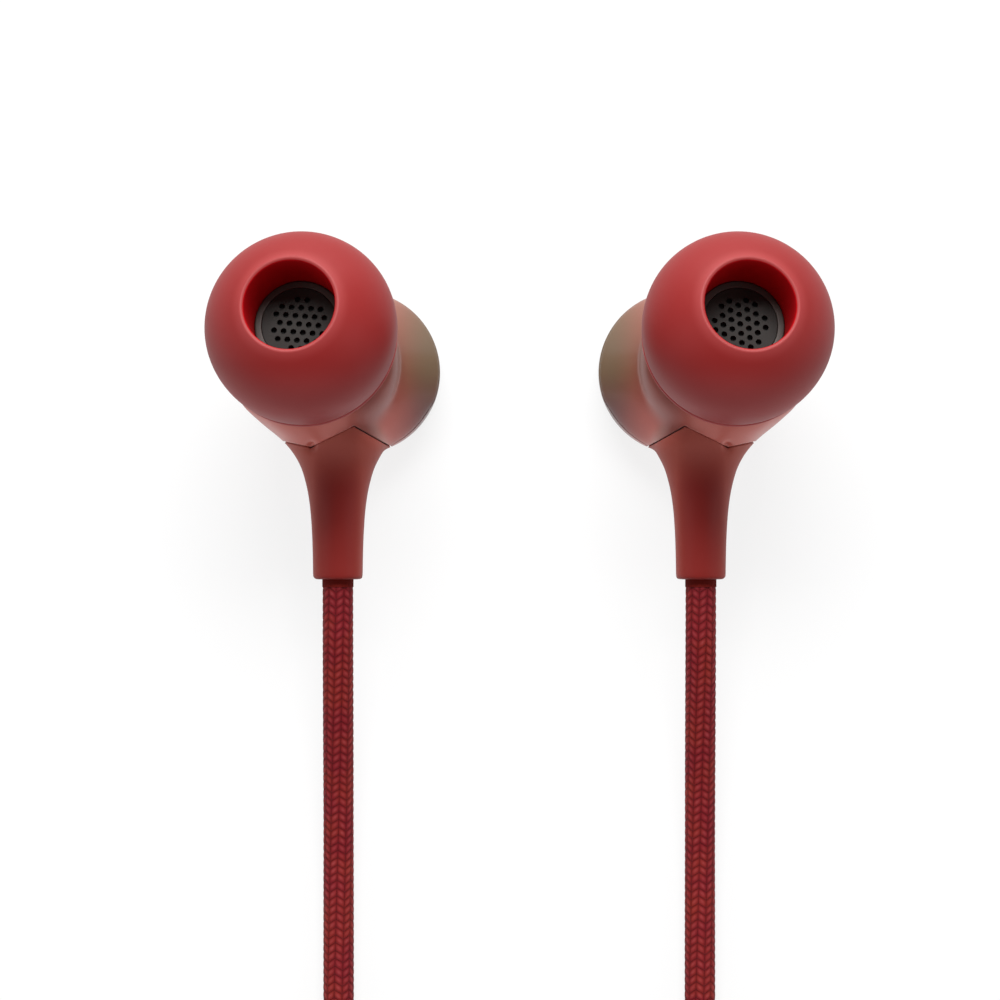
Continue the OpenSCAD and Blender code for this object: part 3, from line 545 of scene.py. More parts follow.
def siliconeTone(side):  # the rubber's own red, paler at the lip and hem where it thins and where a painted highlight lies, and with painted light on its low side
    back = np.array(nosePlace(side).inverted())

    def toneOf(points, normals):
        local = placed(points, back)
        fromAxis = np.hypot(local[:, 0], local[:, 1])
        lip = smoothStep(tipLook["mouth"] + tipLook["lipReach"], tipLook["mouth"] + 0.1, fromAxis)
        lip *= (local[:, 2] > tipLook["lipFrom"]) * tipLook["lipPale"]
        hem = smoothStep(tipLook["skirtAt"] + tipLook["hemReach"], tipLook["skirtAt"] + 0.2, local[:, 2])
        pale = np.maximum(lip, hem * tipLook["hemPale"])
        # painted light: the faces turned towards -Y are paler
        lowSideLight = smoothStep(-0.3, -0.9, normals[:, 1]) * tipLook["paintedLowLight"]
        return blendTones(tipLook["silicone"], tipLook["thinEdgeAndHighlight"], np.maximum(pale, lowSideLight))
    return toneOf


silicone = painted("silicone", scale=5200, depth=0.16, roughness=0.54, spread=0.08, Specular_IOR_Level=0.29)
# the bore's brighter, purer red is painted light shining through the thin rubber
boreSilicone = grained("siliconeBore", scale=5200, depth=0.16, roughness=0.6, spread=0.08,
                       Base_Color=tipLook["bore"], Specular_IOR_Level=0.12)
for side in sides:
    mesh = turned(f"{side}Tip", tipProfile(), nosePlace(side), tipLook["segments"], closed=True)
    paintMesh(mesh, siliconeTone(side))
    fromMesh(mesh, [f"{side}_ear_tip"], [silicone, boreSilicone], f"{side}_tip")
    back = nosePlace(side).inverted()
    for face in mesh.polygons:  # the bore's wall is a purer, brighter red: painted light, for the light that shines through the thin rubber
        at = back @ (face.center / mm)
        if hypot(at.x, at.y) < tipLook["mouth"] + tipLook["boreDepth"] and at.z > tipLook["sleeveAt"] + 1:
            face.material_index = 1
print("ear tips made")


# shells: a bell-shaped housing that flows into the stem boot, split along its real seams
shellLook = {
    "voxel": 0.13, "smooth": 12, "thickness": 0.32, "gap": 0.1, "faintGap": 0.04, "around": 128,
    "linerDepth": 0.16, "linerReach": 0.5, "linerThickness": 0.08, "lean": 5,
    "flareFrom": 0.6, "flareEnd": 4.7, "flareInner": 3.2, "flareDeep": 3.8, "flareLine": (9.0, 1.145),
    "flareCrest": (6.7, 0.9, 2.0), "fillet": 70, "coverSeam": 3.2,
    "bootSeam": [(-9, -8.8), (-1.02, -4.3), (0.23, -3.6), (3.1, -5.0), (5.16, -4.57), (9, -3.77)],
    "notch": (3.1, -5.0), "notchReach": 0.3, "notchDepth": 0.3,
    "pearl": tone(130, 72, 58), "olive": tone(102, 82, 62), "plum": tone(94, 48, 46),
    "lowFacingLight": tone(182, 88, 77), "shade": tone(96, 42, 38), "liner": tone(70, 31, 28),
    "boot": tone(118, 29, 25), "bootPaleAndHighlight": tone(160, 76, 64),
}


def leanRing(centre, radius, tilt, around):
    turn = circle(around)
    ring = np.column_stack([radius * np.cos(turn), radius * np.sin(turn), np.zeros(around)])
    lean = (Matrix.Rotation(noseTurn, 3, "Z") @ Matrix.Rotation(radians(tilt), 3, "Y")
            @ Matrix.Rotation(-noseTurn, 3, "Z"))
    return ring @ np.array(lean).T + centre


def bellRings():  # in the bud's own frame: rounded back edge, leaning drum, dome up to the nozzle's root
    b, around, drumLean = budLook, shellLook["around"], shellLook["lean"]
    sx, sy, sz = b["shoulder"]
    rings = [leanRing((0, 0, 0), b["radius"] - b["coverEdge"] - 1, 0, around)]
    for a in arc(-90, 0, 8):
        rings.append(leanRing((0, 0, b["coverEdge"] * (1 + sin(a))),
                              b["radius"] - b["coverEdge"] * (1 - cos(a)), 0, around))
    for f in np.linspace(0, 1, 14):
        height = b["coverHeight"] + (sz - b["coverHeight"]) * f
        rings.append(leanRing((sx * f, sy * f, height), b["radius"] - 0.1 * f,
                              drumLean * sin(radians(90 * f)) ** 1.2, around))
    lean = np.array(Matrix.Rotation(noseTurn, 3, "Z") @ Matrix.Rotation(noseTilt, 3, "Y"))
    for a in arc(5, 90, 18):
        along = lean @ (0, 0, b["rootRise"] * sin(a))
        tilt = drumLean + (b["tilt"] - drumLean) * sin(a)
        radius = b["rootRadius"] + (b["radius"] - 0.1 - b["rootRadius"]) * cos(a)
        rings.append(leanRing(np.array(b["shoulder"]) + along, radius, tilt, around))
    return np.array(rings)


def bootRings():  # in the bud's own frame: a stem that flares into the drum and on to its shoulder
    b, look = budLook, shellLook
    turn = circle(look["around"])
    lineStart, lineFall = look["flareLine"]
    crest, crestBend, crestAt = look["flareCrest"]
    rings = []
    for d in np.r_[np.linspace(look["flareFrom"], 8, 40), np.linspace(8.3, b["stemEnd"] - 0.3, 14)]:
        r = b["stemRadius"] + b["flare"] * exp((5 - d) / b["fade"])
        rise = max(0, look["flareEnd"] - d)
        inner, deep = min(r, look["flareInner"] - 0.4 * rise), min(r, look["flareDeep"] - 0.45 * rise)
        outer = min(r, lineStart - lineFall * d, crest - crestBend * max(0, crestAt - d) ** 2) if rise else r
        rings.append([(b["stemX"] + (outer if cos(a) > 0 else inner) * cos(a), -d,
                       b["stemZ"] + 0.5 * rise + deep * sin(a)) for a in turn])
    for back, r in ((0.06, b["stemRadius"]), (0, b["stemRadius"] - 0.08)):
        rings.append([(b["stemX"] + r * cos(a), back - b["stemEnd"], b["stemZ"] + r * sin(a))
                      for a in turn])
    return np.array(rings)


def evaluated(obj):  # triangles of an object with its modifiers, as arrays
    graph = bpy.context.evaluated_depsgraph_get()
    mesh = obj.evaluated_get(graph).to_mesh()
    mesh.calc_loop_triangles()
    points = np.empty(len(mesh.vertices) * 3)
    mesh.vertices.foreach_get("co", points)
    triangles = np.empty(len(mesh.loop_triangles) * 3, dtype=np.int32)
    mesh.loop_triangles.foreach_get("vertices", triangles)
    return points.reshape(-1, 3) / mm, triangles.reshape(-1, 3)


def relaxed(points, triangles, amount, rounds):  # each point drawn towards its neighbours, by its own amount
    edges = np.vstack([triangles[:, (0, 1)], triangles[:, (1, 2)], triangles[:, (2, 0)]])
    count = np.bincount(edges[:, 0], minlength=len(points)).astype(float)
    for _ in range(rounds):
        mean = np.column_stack([np.bincount(edges[:, 0], points[edges[:, 1], k], len(points))
                                for k in range(3)])
        points = points + (mean / count[:, None] - points) * amount[:, None]
    return points


def meltedShell():
    points, faces = [], []
    for rings in (bellRings(), bootRings()):
        faces += [tuple(i + len(points) for i in f) for f in ringFaces(len(rings), shellLook["around"])]
        points += [tuple(p) for p in rings.reshape(-1, 3)]
    draft = linked("melted", cleanMesh("melted", points, faces))
    remesh = draft.modifiers.new("melt", "REMESH")
    remesh.mode, remesh.voxel_size = "VOXEL", shellLook["voxel"] * mm
    soften = draft.modifiers.new("soften", "SMOOTH")
    soften.factor, soften.iterations = 0.5, shellLook["smooth"]
    points, triangles = evaluated(draft)
    bpy.data.objects.remove(draft)
    x, y, z = points.T  # the fillet lies where the boot meets the drum, in front and on the outer side
    front = smoothStep(-1.8, -3, y) * smoothStep(-7.2, -6, y) * smoothStep(0.5, 1.8, z)
    outer = (smoothStep(3.4, 4.4, x) * smoothStep(-3.4, -2.4, y) * smoothStep(1.4, 0.6, y)
             * smoothStep(0.3, 1, z))
    return relaxed(points, triangles, 0.5 * np.maximum(front, outer), shellLook["fillet"]), triangles


def vertexNormals(points, triangles):
    corners = points[triangles]
    flat = np.cross(corners[:, 1] - corners[:, 0], corners[:, 2] - corners[:, 0])
    normals = np.zeros_like(points)
    for k in range(3):
        np.add.at(normals, triangles[:, k], flat)
    return normals / np.maximum(np.linalg.norm(normals, axis=1), 1e-12)[:, None]


def cutAt(points, triangles, valueOf):  # new corners wherever valueOf(points) passes through zero
    values = valueOf(points)
    values[np.abs(values) < 1e-5] = 1e-5
    side = values[triangles] > 0
    crossed = side.any(axis=1) & ~side.all(axis=1)
    extra, made, out = [], {}, []

    def corner(a, b):
        key = (min(a, b), max(a, b))
        if key not in made:
            share = values[a] / (values[a] - values[b])
            made[key] = len(points) + len(extra)
            extra.append(points[a] + share * (points[b] - points[a]))
        return made[key]

    for triangle, sign in zip(triangles[crossed].tolist(), side[crossed].tolist()):
        lone = sign.index(sign.count(True) == 1)
        a, b, d = triangle[lone], triangle[lone - 2], triangle[lone - 1]
        p, q = corner(a, b), corner(a, d)
        out += [(a, p, q), (p, b, d), (p, d, q)]
    return np.vstack([points, extra]), np.vstack([triangles[~crossed], out])


def bootSeam(points):  # signed distance to the boot's seam, and half the gap there
    x, y = np.array(shellLook["bootSeam"]).T
    away = points[:, 1] - np.interp(points[:, 0], x, y)
    slope = np.interp(points[:, 0], (x[1:] + x[:-1]) / 2, np.diff(y) / np.diff(x))
    faint = smoothStep(x[2], x[2] + 0.4, points[:, 0]) * smoothStep(x[3], x[3] - 0.4, points[:, 0])
    gap = shellLook["gap"] + (shellLook["faintGap"] - shellLook["gap"]) * faint
    return away / np.sqrt(1 + slope ** 2), gap / 2


def splitShell(points, triangles):  # {piece: (points, triangles)}, with a real gap at each seam
    look = shellLook
    normals = vertexNormals(points, triangles)
    reach = np.hypot(points[:, 0] - look["notch"][0], points[:, 1] - look["notch"][1]) / look["notchReach"]
    points = points - normals * (look["notchDepth"] * np.exp(-reach ** 2) * (normals[:, 2] > 0))[:, None]
    fromAxis = np.hypot(points[:, 0] - budLook["stemX"], points[:, 2] - budLook["stemZ"])
    atEnd = (points[:, 1] < 0.2 - budLook["stemEnd"]) & (fromAxis < cordRadius + 0.12)
    points[atEnd, 1] += 0.5
    points[:, 2] = np.maximum(points[:, 2], 0)
    seam, half = look["coverSeam"], look["gap"] / 2
    for sign in (-1, 1):
        points, triangles = cutAt(points, triangles, lambda p: bootSeam(p)[0] + sign * bootSeam(p)[1])
        points, triangles = cutAt(points, triangles, lambda p: p[:, 2] - seam + sign * half)
    middle = points[triangles].mean(axis=1)
    away, gap = bootSeam(middle)
    height = middle[:, 2] - seam
    sunk = points - vertexNormals(points, triangles) * look["linerDepth"]
    nearSeam = (np.abs(away) < look["linerReach"]) | ((np.abs(height) < look["linerReach"]) & (away > 0))
    used, index = np.unique(triangles[nearSeam], return_inverse=True)
    parts = {"SeamLiner": (sunk[used], index.reshape(-1, 3))}
    for name, chosen in (("Boot", away < -gap), ("BackCover", (away > gap) & (height < -half)),
                         ("FrontHousing", (away > gap) & (height > half))):
        used, index = np.unique(triangles[chosen], return_inverse=True)
        parts[name] = points[used], index.reshape(-1, 3)
    return parts


def lacquerTone(points, normals):  # pearl lacquer in the bud's own frame, with painted light: lighter and pinker on the faces turned towards -Y, painted reflections in olive and plum on the flank towards the other bud, and painted shadow under the tip
    look, (x, y, z) = shellLook, points.T
    # painted light: the faces turned towards -Y take the lighter pink tone
    colour = blendTones(look["pearl"], look["lowFacingLight"], smoothStep(0.2, -0.7, normals[:, 1]))
    # painted reflections on the flank towards the other bud: olive towards +Y, plum towards -Y
    flank = smoothStep(-1.6, -4.8, x)[:, None]
    colour = colour * (1 - flank) + blendTones(look["olive"], look["plum"], smoothStep(0.5, -3.2, y)) * flank
    # painted shadow of the ear tip on the dome
    tipShadow = (smoothStep(5.4, 7.4, z) * smoothStep(1.4, -1, x) * 0.6)[:, None]
    return colour * (1 - tipShadow) + np.array(look["shade"][:3]) * tipShadow


def bootTone(points, normals):  # dark red rubber, paler and warmer where it flares over the drum, with a painted highlight along the stem's two sides
    flare = smoothStep(-8, -4.2, points[:, 1]) * 0.75
    # painted highlight along the stem's two sides
    edge = np.clip(np.abs(points[:, 0] - budLook["stemX"]) / budLook["stemRadius"], 0, 1) ** 4 * 0.5
    return blendTones(shellLook["boot"], shellLook["bootPaleAndHighlight"], np.clip(flare + edge * (1 - flare), 0, 1))


lacquer = painted("lacquer", scale=2600, depth=0.05, roughness=0.34, spread=0.06, Metallic=0.08,
                  Specular_IOR_Level=0.3, Coat_Weight=0.25, Coat_Roughness=0.2)
bootRubber = painted("bootRubber", scale=4200, depth=0.12, roughness=0.5, spread=0.08,
                     Specular_IOR_Level=0.18)
meltedPoints, meltedTriangles = meltedShell()
shellParts = splitShell(meltedPoints, meltedTriangles)
linerDark = newMaterial("seamShadow", Base_Color=shellLook["liner"], Roughness=0.8)
shellFinish = {"SeamLiner": ("housing", None, linerDark, None),
               "Boot": ("boot", bootTone, bootRubber, "stem_boot"),
               "BackCover": ("housing", lacquerTone, lacquer, "back_cover"),
               "FrontHousing": ("housing", lacquerTone, lacquer, "front_housing")}
for side, sign in sides.items():
    unplaced = np.array(budPlace(side).inverted())
    for name, (points, triangles) in shellParts.items():
        slotName, toneOf, material, node = shellFinish[name]
        mesh = meshOf(side + name, placed(points, budPlace(side)),
                      [tuple(f[::sign]) for f in triangles.tolist()])
        mesh.shade_smooth()

        def toneInBud(p, n):
            return toneOf(placed(p, unplaced), n @ unplaced[:3, :3].T)

        if toneOf:
            paintMesh(mesh, toneInBud)
        shell = fromMesh(mesh, [f"{side}_{node}"] if node else [], material)
        thick = shell.modifiers.new("wall", "SOLIDIFY")
        thick.thickness, thick.offset = shellLook["thickness" if node else "linerThickness"] * mm, -1
neckLook = {"radius": 1.035, "length": 0.5, "inside": 0.6, "depth": 0.2, "tone": tone(92, 16, 10)}
neckMaterial = newMaterial("neckBandShade", Base_Color=neckLook["tone"], Roughness=0.8, Specular_IOR_Level=0.1)
neckR, neckTop, neckEnd = neckLook["radius"], -neckLook["inside"], neckLook["length"]
neckInner = neckR - neckLook["depth"]
neckProfile = rounded([(neckInner, neckTop), (neckR, neckTop), (neckR, neckEnd, 0.06), (neckInner, neckEnd)])
for side, sign in sides.items():  # the braid's sealed end just below the stem, darkened with painted shade under the stem's end
    band = turned(f"{side}NeckBandShade", neckProfile, alongCord(sign * stemX, stemEndY, stemZ), 48, closed=True)
    fromMesh(band, [], neckMaterial)
print("shells made:", len(meltedPoints), "points")


# nozzle contents: a real perforated sheet, a little below the nozzle's lip
grilleLook = {"radius": 2.45, "bottom": 8.74, "thickness": 0.12, "pitch": 0.64, "hole": 0.2, "rings": 3,
              "field": 1.75, "turn": {"left": 2, "right": 30}, "holeSides": 16, "rimSides": 72,
              "sheet": tone(34, 31, 28), "nose": tone(62, 55, 50)}


def perforatedSheet(name, place, spin):
    look = grilleLook
    loops = [((0, 0), look["radius"], look["rimSides"])]
    for i in range(-look["rings"], look["rings"] + 1):
        for j in range(-look["rings"], look["rings"] + 1):
            x, y = look["pitch"] * (i + j / 2), look["pitch"] * j * sqrt(3) / 2
            if hypot(x, y) < look["field"]:
                spot = x * cos(spin) - y * sin(spin), x * sin(spin) + y * cos(spin)
                loops.append((spot, look["hole"], look["holeSides"]))
    outline = bmesh.new()
    for (cx, cy), r, count in loops:
        turn = [2 * pi * k / count for k in range(count)]
        ring = [outline.verts.new((cx + r * cos(a), cy + r * sin(a), look["bottom"])) for a in turn]
        for k in range(count):
            outline.edges.new((ring[k], ring[(k + 1) % count]))
    bmesh.ops.triangle_fill(outline, use_beauty=True, use_dissolve=False, edges=outline.edges[:])
    made = bmesh.ops.extrude_face_region(outline, geom=outline.faces[:])
    for v in made["geom"]:
        if isinstance(v, bmesh.types.BMVert):
            v.co.z += look["thickness"]
    outline.transform(Matrix.Scale(mm, 4) @ place)
    bmesh.ops.recalc_face_normals(outline, faces=outline.faces)
    mesh = bpy.data.meshes.new(name)
    outline.to_mesh(mesh)
    outline.free()
    return mesh


grilleMetal = grained("grilleMetal", scale=7000, depth=0.1, roughness=0.6, spread=0.1,
                      Base_Color=grilleLook["sheet"], Specular_IOR_Level=0.22)
noseLacquer = grained("nozzleLacquer", scale=2600, depth=0.05, roughness=0.6, spread=0.06,
                      Base_Color=grilleLook["nose"])
noseLook = {"bore": 2.2, "tube": 2.7, "lip": 2.95, "seat": 2.5, "root": 1.6, "lipFrom": 7.3, "seatAt": 8.5,
            "end": 8.9}
boreR, tubeR, lipR, seatR = (noseLook[k] for k in ("bore", "tube", "lip", "seat"))
noseEnd, seatAt = noseLook["end"], noseLook["seatAt"]
noseTube = rounded([(boreR, noseLook["root"]), (tubeR, noseLook["root"]), (tubeR, noseLook["lipFrom"]),
                    (lipR, noseLook["lipFrom"] + 0.4, 0.1), (lipR, noseEnd, 0.12), (seatR, noseEnd, 0.05),
                    (seatR, seatAt), (boreR, seatAt)])
for side in sides:
    mesh = perforatedSheet(f"{side}Grille", nosePlace(side), radians(grilleLook["turn"][side]))
    fromMesh(mesh, [f"{side}_nozzle_grille"], grilleMetal)
    fromMesh(turned(f"{side}Nozzle", noseTube, nosePlace(side), closed=True), [], noseLacquer)
print("nozzles made")


# splitter: a soft moulding on the cords' own axis, with a lip round each ear cord
splitterLook = {"radius": 2.9, "waist": 5.4, "grooveWidth": 0.5, "grooveDepth": 0.12, "taperFrom": 10.5,
                "tailRadius": 1.62, "tailDepth": 1, "clearance": 0.06, "lip": 0.22}
mouldedRed = grained("mouldedRed", scale=4200, depth=0.14, roughness=0.46, spread=0.08,
                     Base_Color=shellLook["boot"], Specular_IOR_Level=0.25)
wideR, tailR, waistAt = splitterLook["radius"], splitterLook["tailRadius"], splitterLook["waist"]
grooveR, grooveEnd = wideR - splitterLook["grooveDepth"], waistAt + splitterLook["grooveWidth"]
mouthR, lipR = cordRadius + splitterLook["clearance"], splitterLook["lip"] / 2
sleeve = turned("sleeve", rounded([
    (0, 0), (wideR, 0, 0.7), (wideR, waistAt, 0.08), (grooveR, waistAt + 0.1, 0.04),
    (grooveR, grooveEnd - 0.1, 0.04), (wideR, grooveEnd, 0.08), (wideR, splitterLook["taperFrom"], 3),
    (tailR, splitterLength - 0.6, 0.8), (tailR, splitterLength, 0.25), (mouthR, splitterLength, 0.1),
    (mouthR, splitterLength - splitterLook["tailDepth"]), (0, splitterLength - splitterLook["tailDepth"])]),
    alongCord(0, splitterY, lineZ))
lipRing = [(cordRadius + 0.1 + lipR * (1 + cos(a)), 0.12 + lipR * sin(a))
           for a in circle(12)]
lips = [turned("lip", lipRing, alongCord(x, splitterY + 0.15, lineZ), 48, closed=True)
        for x in (-tailX, tailX)]
fromMesh(joined("splitter", [sleeve] + lips), ["splitter_sleeve"], mouldedRed)

# remote: two shells with a fine gap, a dished button with a touch pip, and a microphone port
remoteLook = {"width": 8.6, "height": 5.8, "edge": 1.5, "backEdge": 1.2, "gap": 0.08, "seamEdge": 0.12,
              "buttonLength": 11, "buttonWidth": 4.4, "buttonGap": 0.09, "buttonTop": 6.3, "buttonEdge": 0.35,
              "well": 1.25, "dish": 0.16, "micFrom": 6.8, "micRadius": 0.45, "pipRadius": 0.42, "arc": 24,
              "button": tone(122, 30, 30), "port": tone(18, 14, 14)}
buttonY = remoteY - remoteLength / 2


def stadiumRing(width, length, inset, z, midY):
    r, half = width / 2 - inset, (length - width) / 2
    turn = np.linspace(0, pi, remoteLook["arc"])
    front = [(r * cos(a), midY + half + r * sin(a), z) for a in turn]
    return front + [(-r * cos(a), midY - half - r * sin(a), z) for a in turn]


def stacked(name, rings):
    return cleanMesh(name, np.array(rings).reshape(-1, 3), ringFaces(len(rings), len(rings[0])))


def shellRing(inset, z):
    return stadiumRing(remoteLook["width"], remoteLength, inset, z, buttonY)


def buttonRing(inset, z):
    return stadiumRing(remoteLook["buttonWidth"], remoteLook["buttonLength"], inset, z, buttonY)


def roundedEdge(ringAt, edge, top, steps):  # rings that curve in over a rounded edge, up to the height top
    return [ringAt(edge * (1 - cos(a)), top - edge * (1 - sin(a)))
            for a in arc(0, 90, steps)]


look, top, seamEdge, halfGap = remoteLook, remoteLook["height"], remoteLook["seamEdge"], remoteLook["gap"] / 2
frontRings = [shellRing(seamEdge, lineZ + halfGap), shellRing(0, lineZ + halfGap + seamEdge)]
frontRings += roundedEdge(shellRing, look["edge"], top, 14) + [shellRing(look["edge"] + 0.08, top)]
frontRings += [buttonRing(-look["buttonGap"] - drop, top - dip)
               for drop, dip in ((0.22, 0), (0.15, 0), (0.04, 0.04), (0, 0.15), (0, look["well"]))]
fromMesh(stacked("remoteFront", frontRings), ["remote_front_shell"], mouldedRed)
backRings = [shellRing(seamEdge, lineZ - halfGap), shellRing(0, lineZ - halfGap - seamEdge)]
backRings += [shellRing(look["backEdge"] * (1 - cos(a)), look["backEdge"] * (1 - sin(a)))
              for a in arc(0, 90, 12)]
fromMesh(stacked("remoteBack", backRings), ["remote_back_shell"], mouldedRed)
buttonTop, dish = look["buttonTop"], look["dish"]
buttonRings = [buttonRing(0, top - 0.85)] + roundedEdge(buttonRing, look["buttonEdge"], buttonTop, 8)
buttonRings += [buttonRing(inset, buttonTop - dish * sin(radians(90 * part)) ** 2)
                for part, inset in ((0.3, 0.7), (0.6, 1.1), (0.85, 1.5), (1, 1.9))]
buttonRed = grained("buttonRed", scale=4200, depth=0.1, roughness=0.38, spread=0.06,
                    Base_Color=look["button"], Specular_IOR_Level=0.3)
fromMesh(stacked("remoteButton", buttonRings), ["remote_button"], buttonRed, "button")
pipLine = [(look["pipRadius"] * cos(a), buttonTop - dish - 0.05 + 0.2 * sin(a))
           for a in arc(0, 90, 8)]
fromMesh(turned("touchPip", pipLine, Matrix.Translation((0, buttonY, 0)), 32), [], buttonRed,
         "button")
portDark = newMaterial("portDark", Base_Color=look["port"], Roughness=0.7)
micR = look["micRadius"]
portLine = [(micR + 0.3, top - 0.02), (micR + 0.22, top + 0.03), (micR + 0.06, top + 0.03),
            (micR, top - 0.05), (micR, top - 0.2), (0, top - 0.2)]
portPlace = Matrix.Translation((0, remoteEndY + look["micFrom"], 0))
fromMesh(turned("microphonePort", portLine, portPlace, 40), [], portDark)

# plug: ribbed bend relief, grip with a soft waist, and a banded barrel
plugLook = {"reliefRadius": 2.35, "neck": 0.55, "ribs": 4, "ribFrom": 1.4, "ribStep": 1.9, "ribWidth": 0.55,
            "ribFloor": 1.3, "gripRings": 3, "gripRingAt": 3.2, "gripRingStep": 1.2, "gripRingDepth": 0.16,
            "sleeve": 5.4, "ring": 2.0, "insulator": 0.55, "tipWaist": 1.2, "tipEnd": 0.8,
            "brass": tone(214, 180, 120), "rubber": tone(30, 28, 28)}
reliefR, reliefEnd, neckOut = plugLook["reliefRadius"], plug["reliefLength"], cordRadius + plugLook["neck"]
relief = [(0, 0), (cordRadius + 0.2, 0, 0.1), (neckOut, 0.35, 0.15)]
for n in range(plugLook["ribs"]):
    at = plugLook["ribFrom"] + plugLook["ribStep"] * n
    outer, floorR = neckOut + (reliefR - neckOut) * at / reliefEnd, plugLook["ribFloor"] + 0.1 * n
    relief += [(outer, at, 0.12), (floorR, at + 0.08, 0.06), (floorR, at + plugLook["ribWidth"], 0.06),
               (outer + 0.03, at + plugLook["ribWidth"] + 0.08, 0.12)]
relief += [(reliefR, reliefEnd - 0.6), (reliefR, reliefEnd + 1), (0, reliefEnd + 1)]
fromMesh(turned("plugRelief", rounded(relief), alongCord(plug["x"], plug["reliefY"], plug["z"], 1)),
         ["plug_bend_relief"], mouldedRed)
gr, gl, jr = plug["gripRadius"], plug["gripLength"], plug["jackRadius"]
grip = [(0, 0.3), (reliefR + 0.05, 0.3), (reliefR + 0.1, 0, 0.05), (gr - 0.25, 0, 0.35), (gr, 0.8, 0.4)]
for n in range(plugLook["gripRings"]):
    at, ringFloor = plugLook["gripRingAt"] + plugLook["gripRingStep"] * n, gr - plugLook["gripRingDepth"]
    grip += [(gr, at, 0.08), (ringFloor, at + 0.1, 0.05), (ringFloor, at + 0.4, 0.05), (gr, at + 0.5, 0.08)]
grip += [(gr - 0.12, 10, 4), (gr, gl - 2.2, 1), (gr, gl - 1, 0.5), (gr - 0.9, gl - 0.05, 0.3),
         (jr - 0.3, gl - 0.05), (jr - 0.3, gl - 1), (0, gl - 1)]
fromMesh(turned("plugGrip", rounded(grip), alongCord(plug["x"], gripY, plug["z"], 1)), ["plug_grip"],
         mouldedRed)
brass = newMaterial("contactBrass", Base_Color=plugLook["brass"], Metallic=1, Roughness=0.24)
insulatorBlack = newMaterial("insulatorBlack", Base_Color=plugLook["rubber"], Roughness=0.5)
barrel = alongCord(plug["x"], jackY, plug["z"], 1)


def bandMesh(name, start, end, radius, edge):
    return turned(name, rounded([(0, start), (radius, start, edge), (radius, end, edge), (0, end)]), barrel)


insulatorLength, ringLength = plugLook["insulator"], plugLook["ring"]
bandAt = [plugLook["sleeve"] + n * (insulatorLength + ringLength) for n in range(3)]
fromMesh(bandMesh("plugSleeve", -0.9, plugLook["sleeve"], jr, 0.08), ["plug_sleeve_contact"],
         brass)
ringMeshes = [bandMesh("ring", at + insulatorLength, at + insulatorLength + ringLength, jr, 0.08)
              for at in bandAt[:2]]
fromMesh(joined("plugRings", ringMeshes), ["plug_ring_contacts"], brass)
insulators = [bandMesh("insulator", at, at + insulatorLength, jr - 0.05, 0.02) for at in bandAt]
fromMesh(joined("plugInsulators", insulators), ["plug_insulators"], insulatorBlack)
tipAt, tipEnd = bandAt[2] + insulatorLength, plug["jackLength"]
tipLine = rounded([(0, tipAt), (jr, tipAt, 0.08), (jr, tipAt + 0.25, 0.1),
                   (plugLook["tipWaist"], tipAt + 0.6, 0.3), (jr - 0.02, tipAt + 1.4, 0.4),
                   (plugLook["tipEnd"], tipEnd - 0.1, 0.35), (0, tipEnd)])
fromMesh(turned("plugTip", tipLine, barrel), ["plug_tip_contact"], brass)

# ties: a woven strap closed on itself, its end lying on top
tieLook = {"width": 3, "gap": 0.25, "corner": 1.1, "bevel": 0.1, "tail": 0.42, "flapSteps": 6, "flapEnd": 0.8,
           "strap": tone(30, 27, 28)}
tieMaterial = grained("tieStrap", scale=1800, depth=0.5, roughness=0.75, spread=0.1,
                      Base_Color=tieLook["strap"], Sheen_Weight=0.2)


def strapMesh(name, low, high, place):  # a band round the box from low to high, in place's own X and Z
    (x0, z0), (x1, z1), corner = low, high, tieLook["corner"]
    corners = ((x1 - corner, z1 - corner), (x0 + corner, z1 - corner), (x0 + corner, z0 + corner),
               (x1 - corner, z0 + corner))
    path = [(cx, cz, radians(90 * i + 90 * n / 8)) for i, (cx, cz) in enumerate(corners) for n in range(9)]
    half, t, e = tieLook["width"] / 2, tieThick, tieLook["bevel"]
    section = [(-half + e, 0), (half - e, 0), (half, -e), (half, e - t), (half - e, -t), (e - half, -t),
               (-half, e - t), (-half, -e)]
    rings = [[(cx + (corner + out) * cos(a), y, cz + (corner + out) * sin(a)) for y, out in section]
             for cx, cz, a in path]
    loop = cleanMesh("loop", placed(np.array(rings).reshape(-1, 3), place),
                     ringFaces(len(rings), len(section), True, False), 50)
    reach, last = (x1 - x0) * tieLook["tail"], tieLook["flapSteps"]
    ends = [(x0 + corner + reach * n / last, z1 + 0.02) for n in range(last + 1)]
    flap = [[(x, y * (1 if n < last else tieLook["flapEnd"]), z + (out + t) * 0.6) for y, out in section]
            for n, (x, z) in enumerate(ends)]
    return joined(name, [loop, cleanMesh("flap", placed(np.array(flap).reshape(-1, 3), place),
                                         ringFaces(len(flap), len(section)), 50)])


def hankWidth(j):  # how far the run's middle lies from the hank's own line, at its ring j
    return abs(hankPoint(j)[0] - hankX)


reach = cordRadius + tieLook["gap"] + tieThick
hankTop = cordLook["diameter"] + pitch + windingLift + tieLook["gap"] + tieThick
for side, sign in sides.items():
    place = Matrix.Diagonal((sign, 1, 1, 1)) @ Matrix.Translation((hankX, hankY, 0))
    mesh = strapMesh(f"{side}HankTie", (-hankWidth(2) - reach, 0), (hankWidth(14) + reach, hankTop), place)
    fromMesh(mesh, [f"{side}_hank_tie"], tieMaterial)
place = Matrix.Translation((coil["x"], coil["y"], 0)) @ Matrix.Rotation(radians(-90), 4, "Z")
innerEdge = coil["out"] - coil["loops"] * pitch - cordRadius - 0.35 - tieThick
mesh = strapMesh("coilTie", (innerEdge, 0), (coil["out"] + reach, coilTopZ + windingLift + reach), place)
fromMesh(mesh, ["main_coil_tie"], tieMaterial)
print("splitter, remote, plug and ties made")

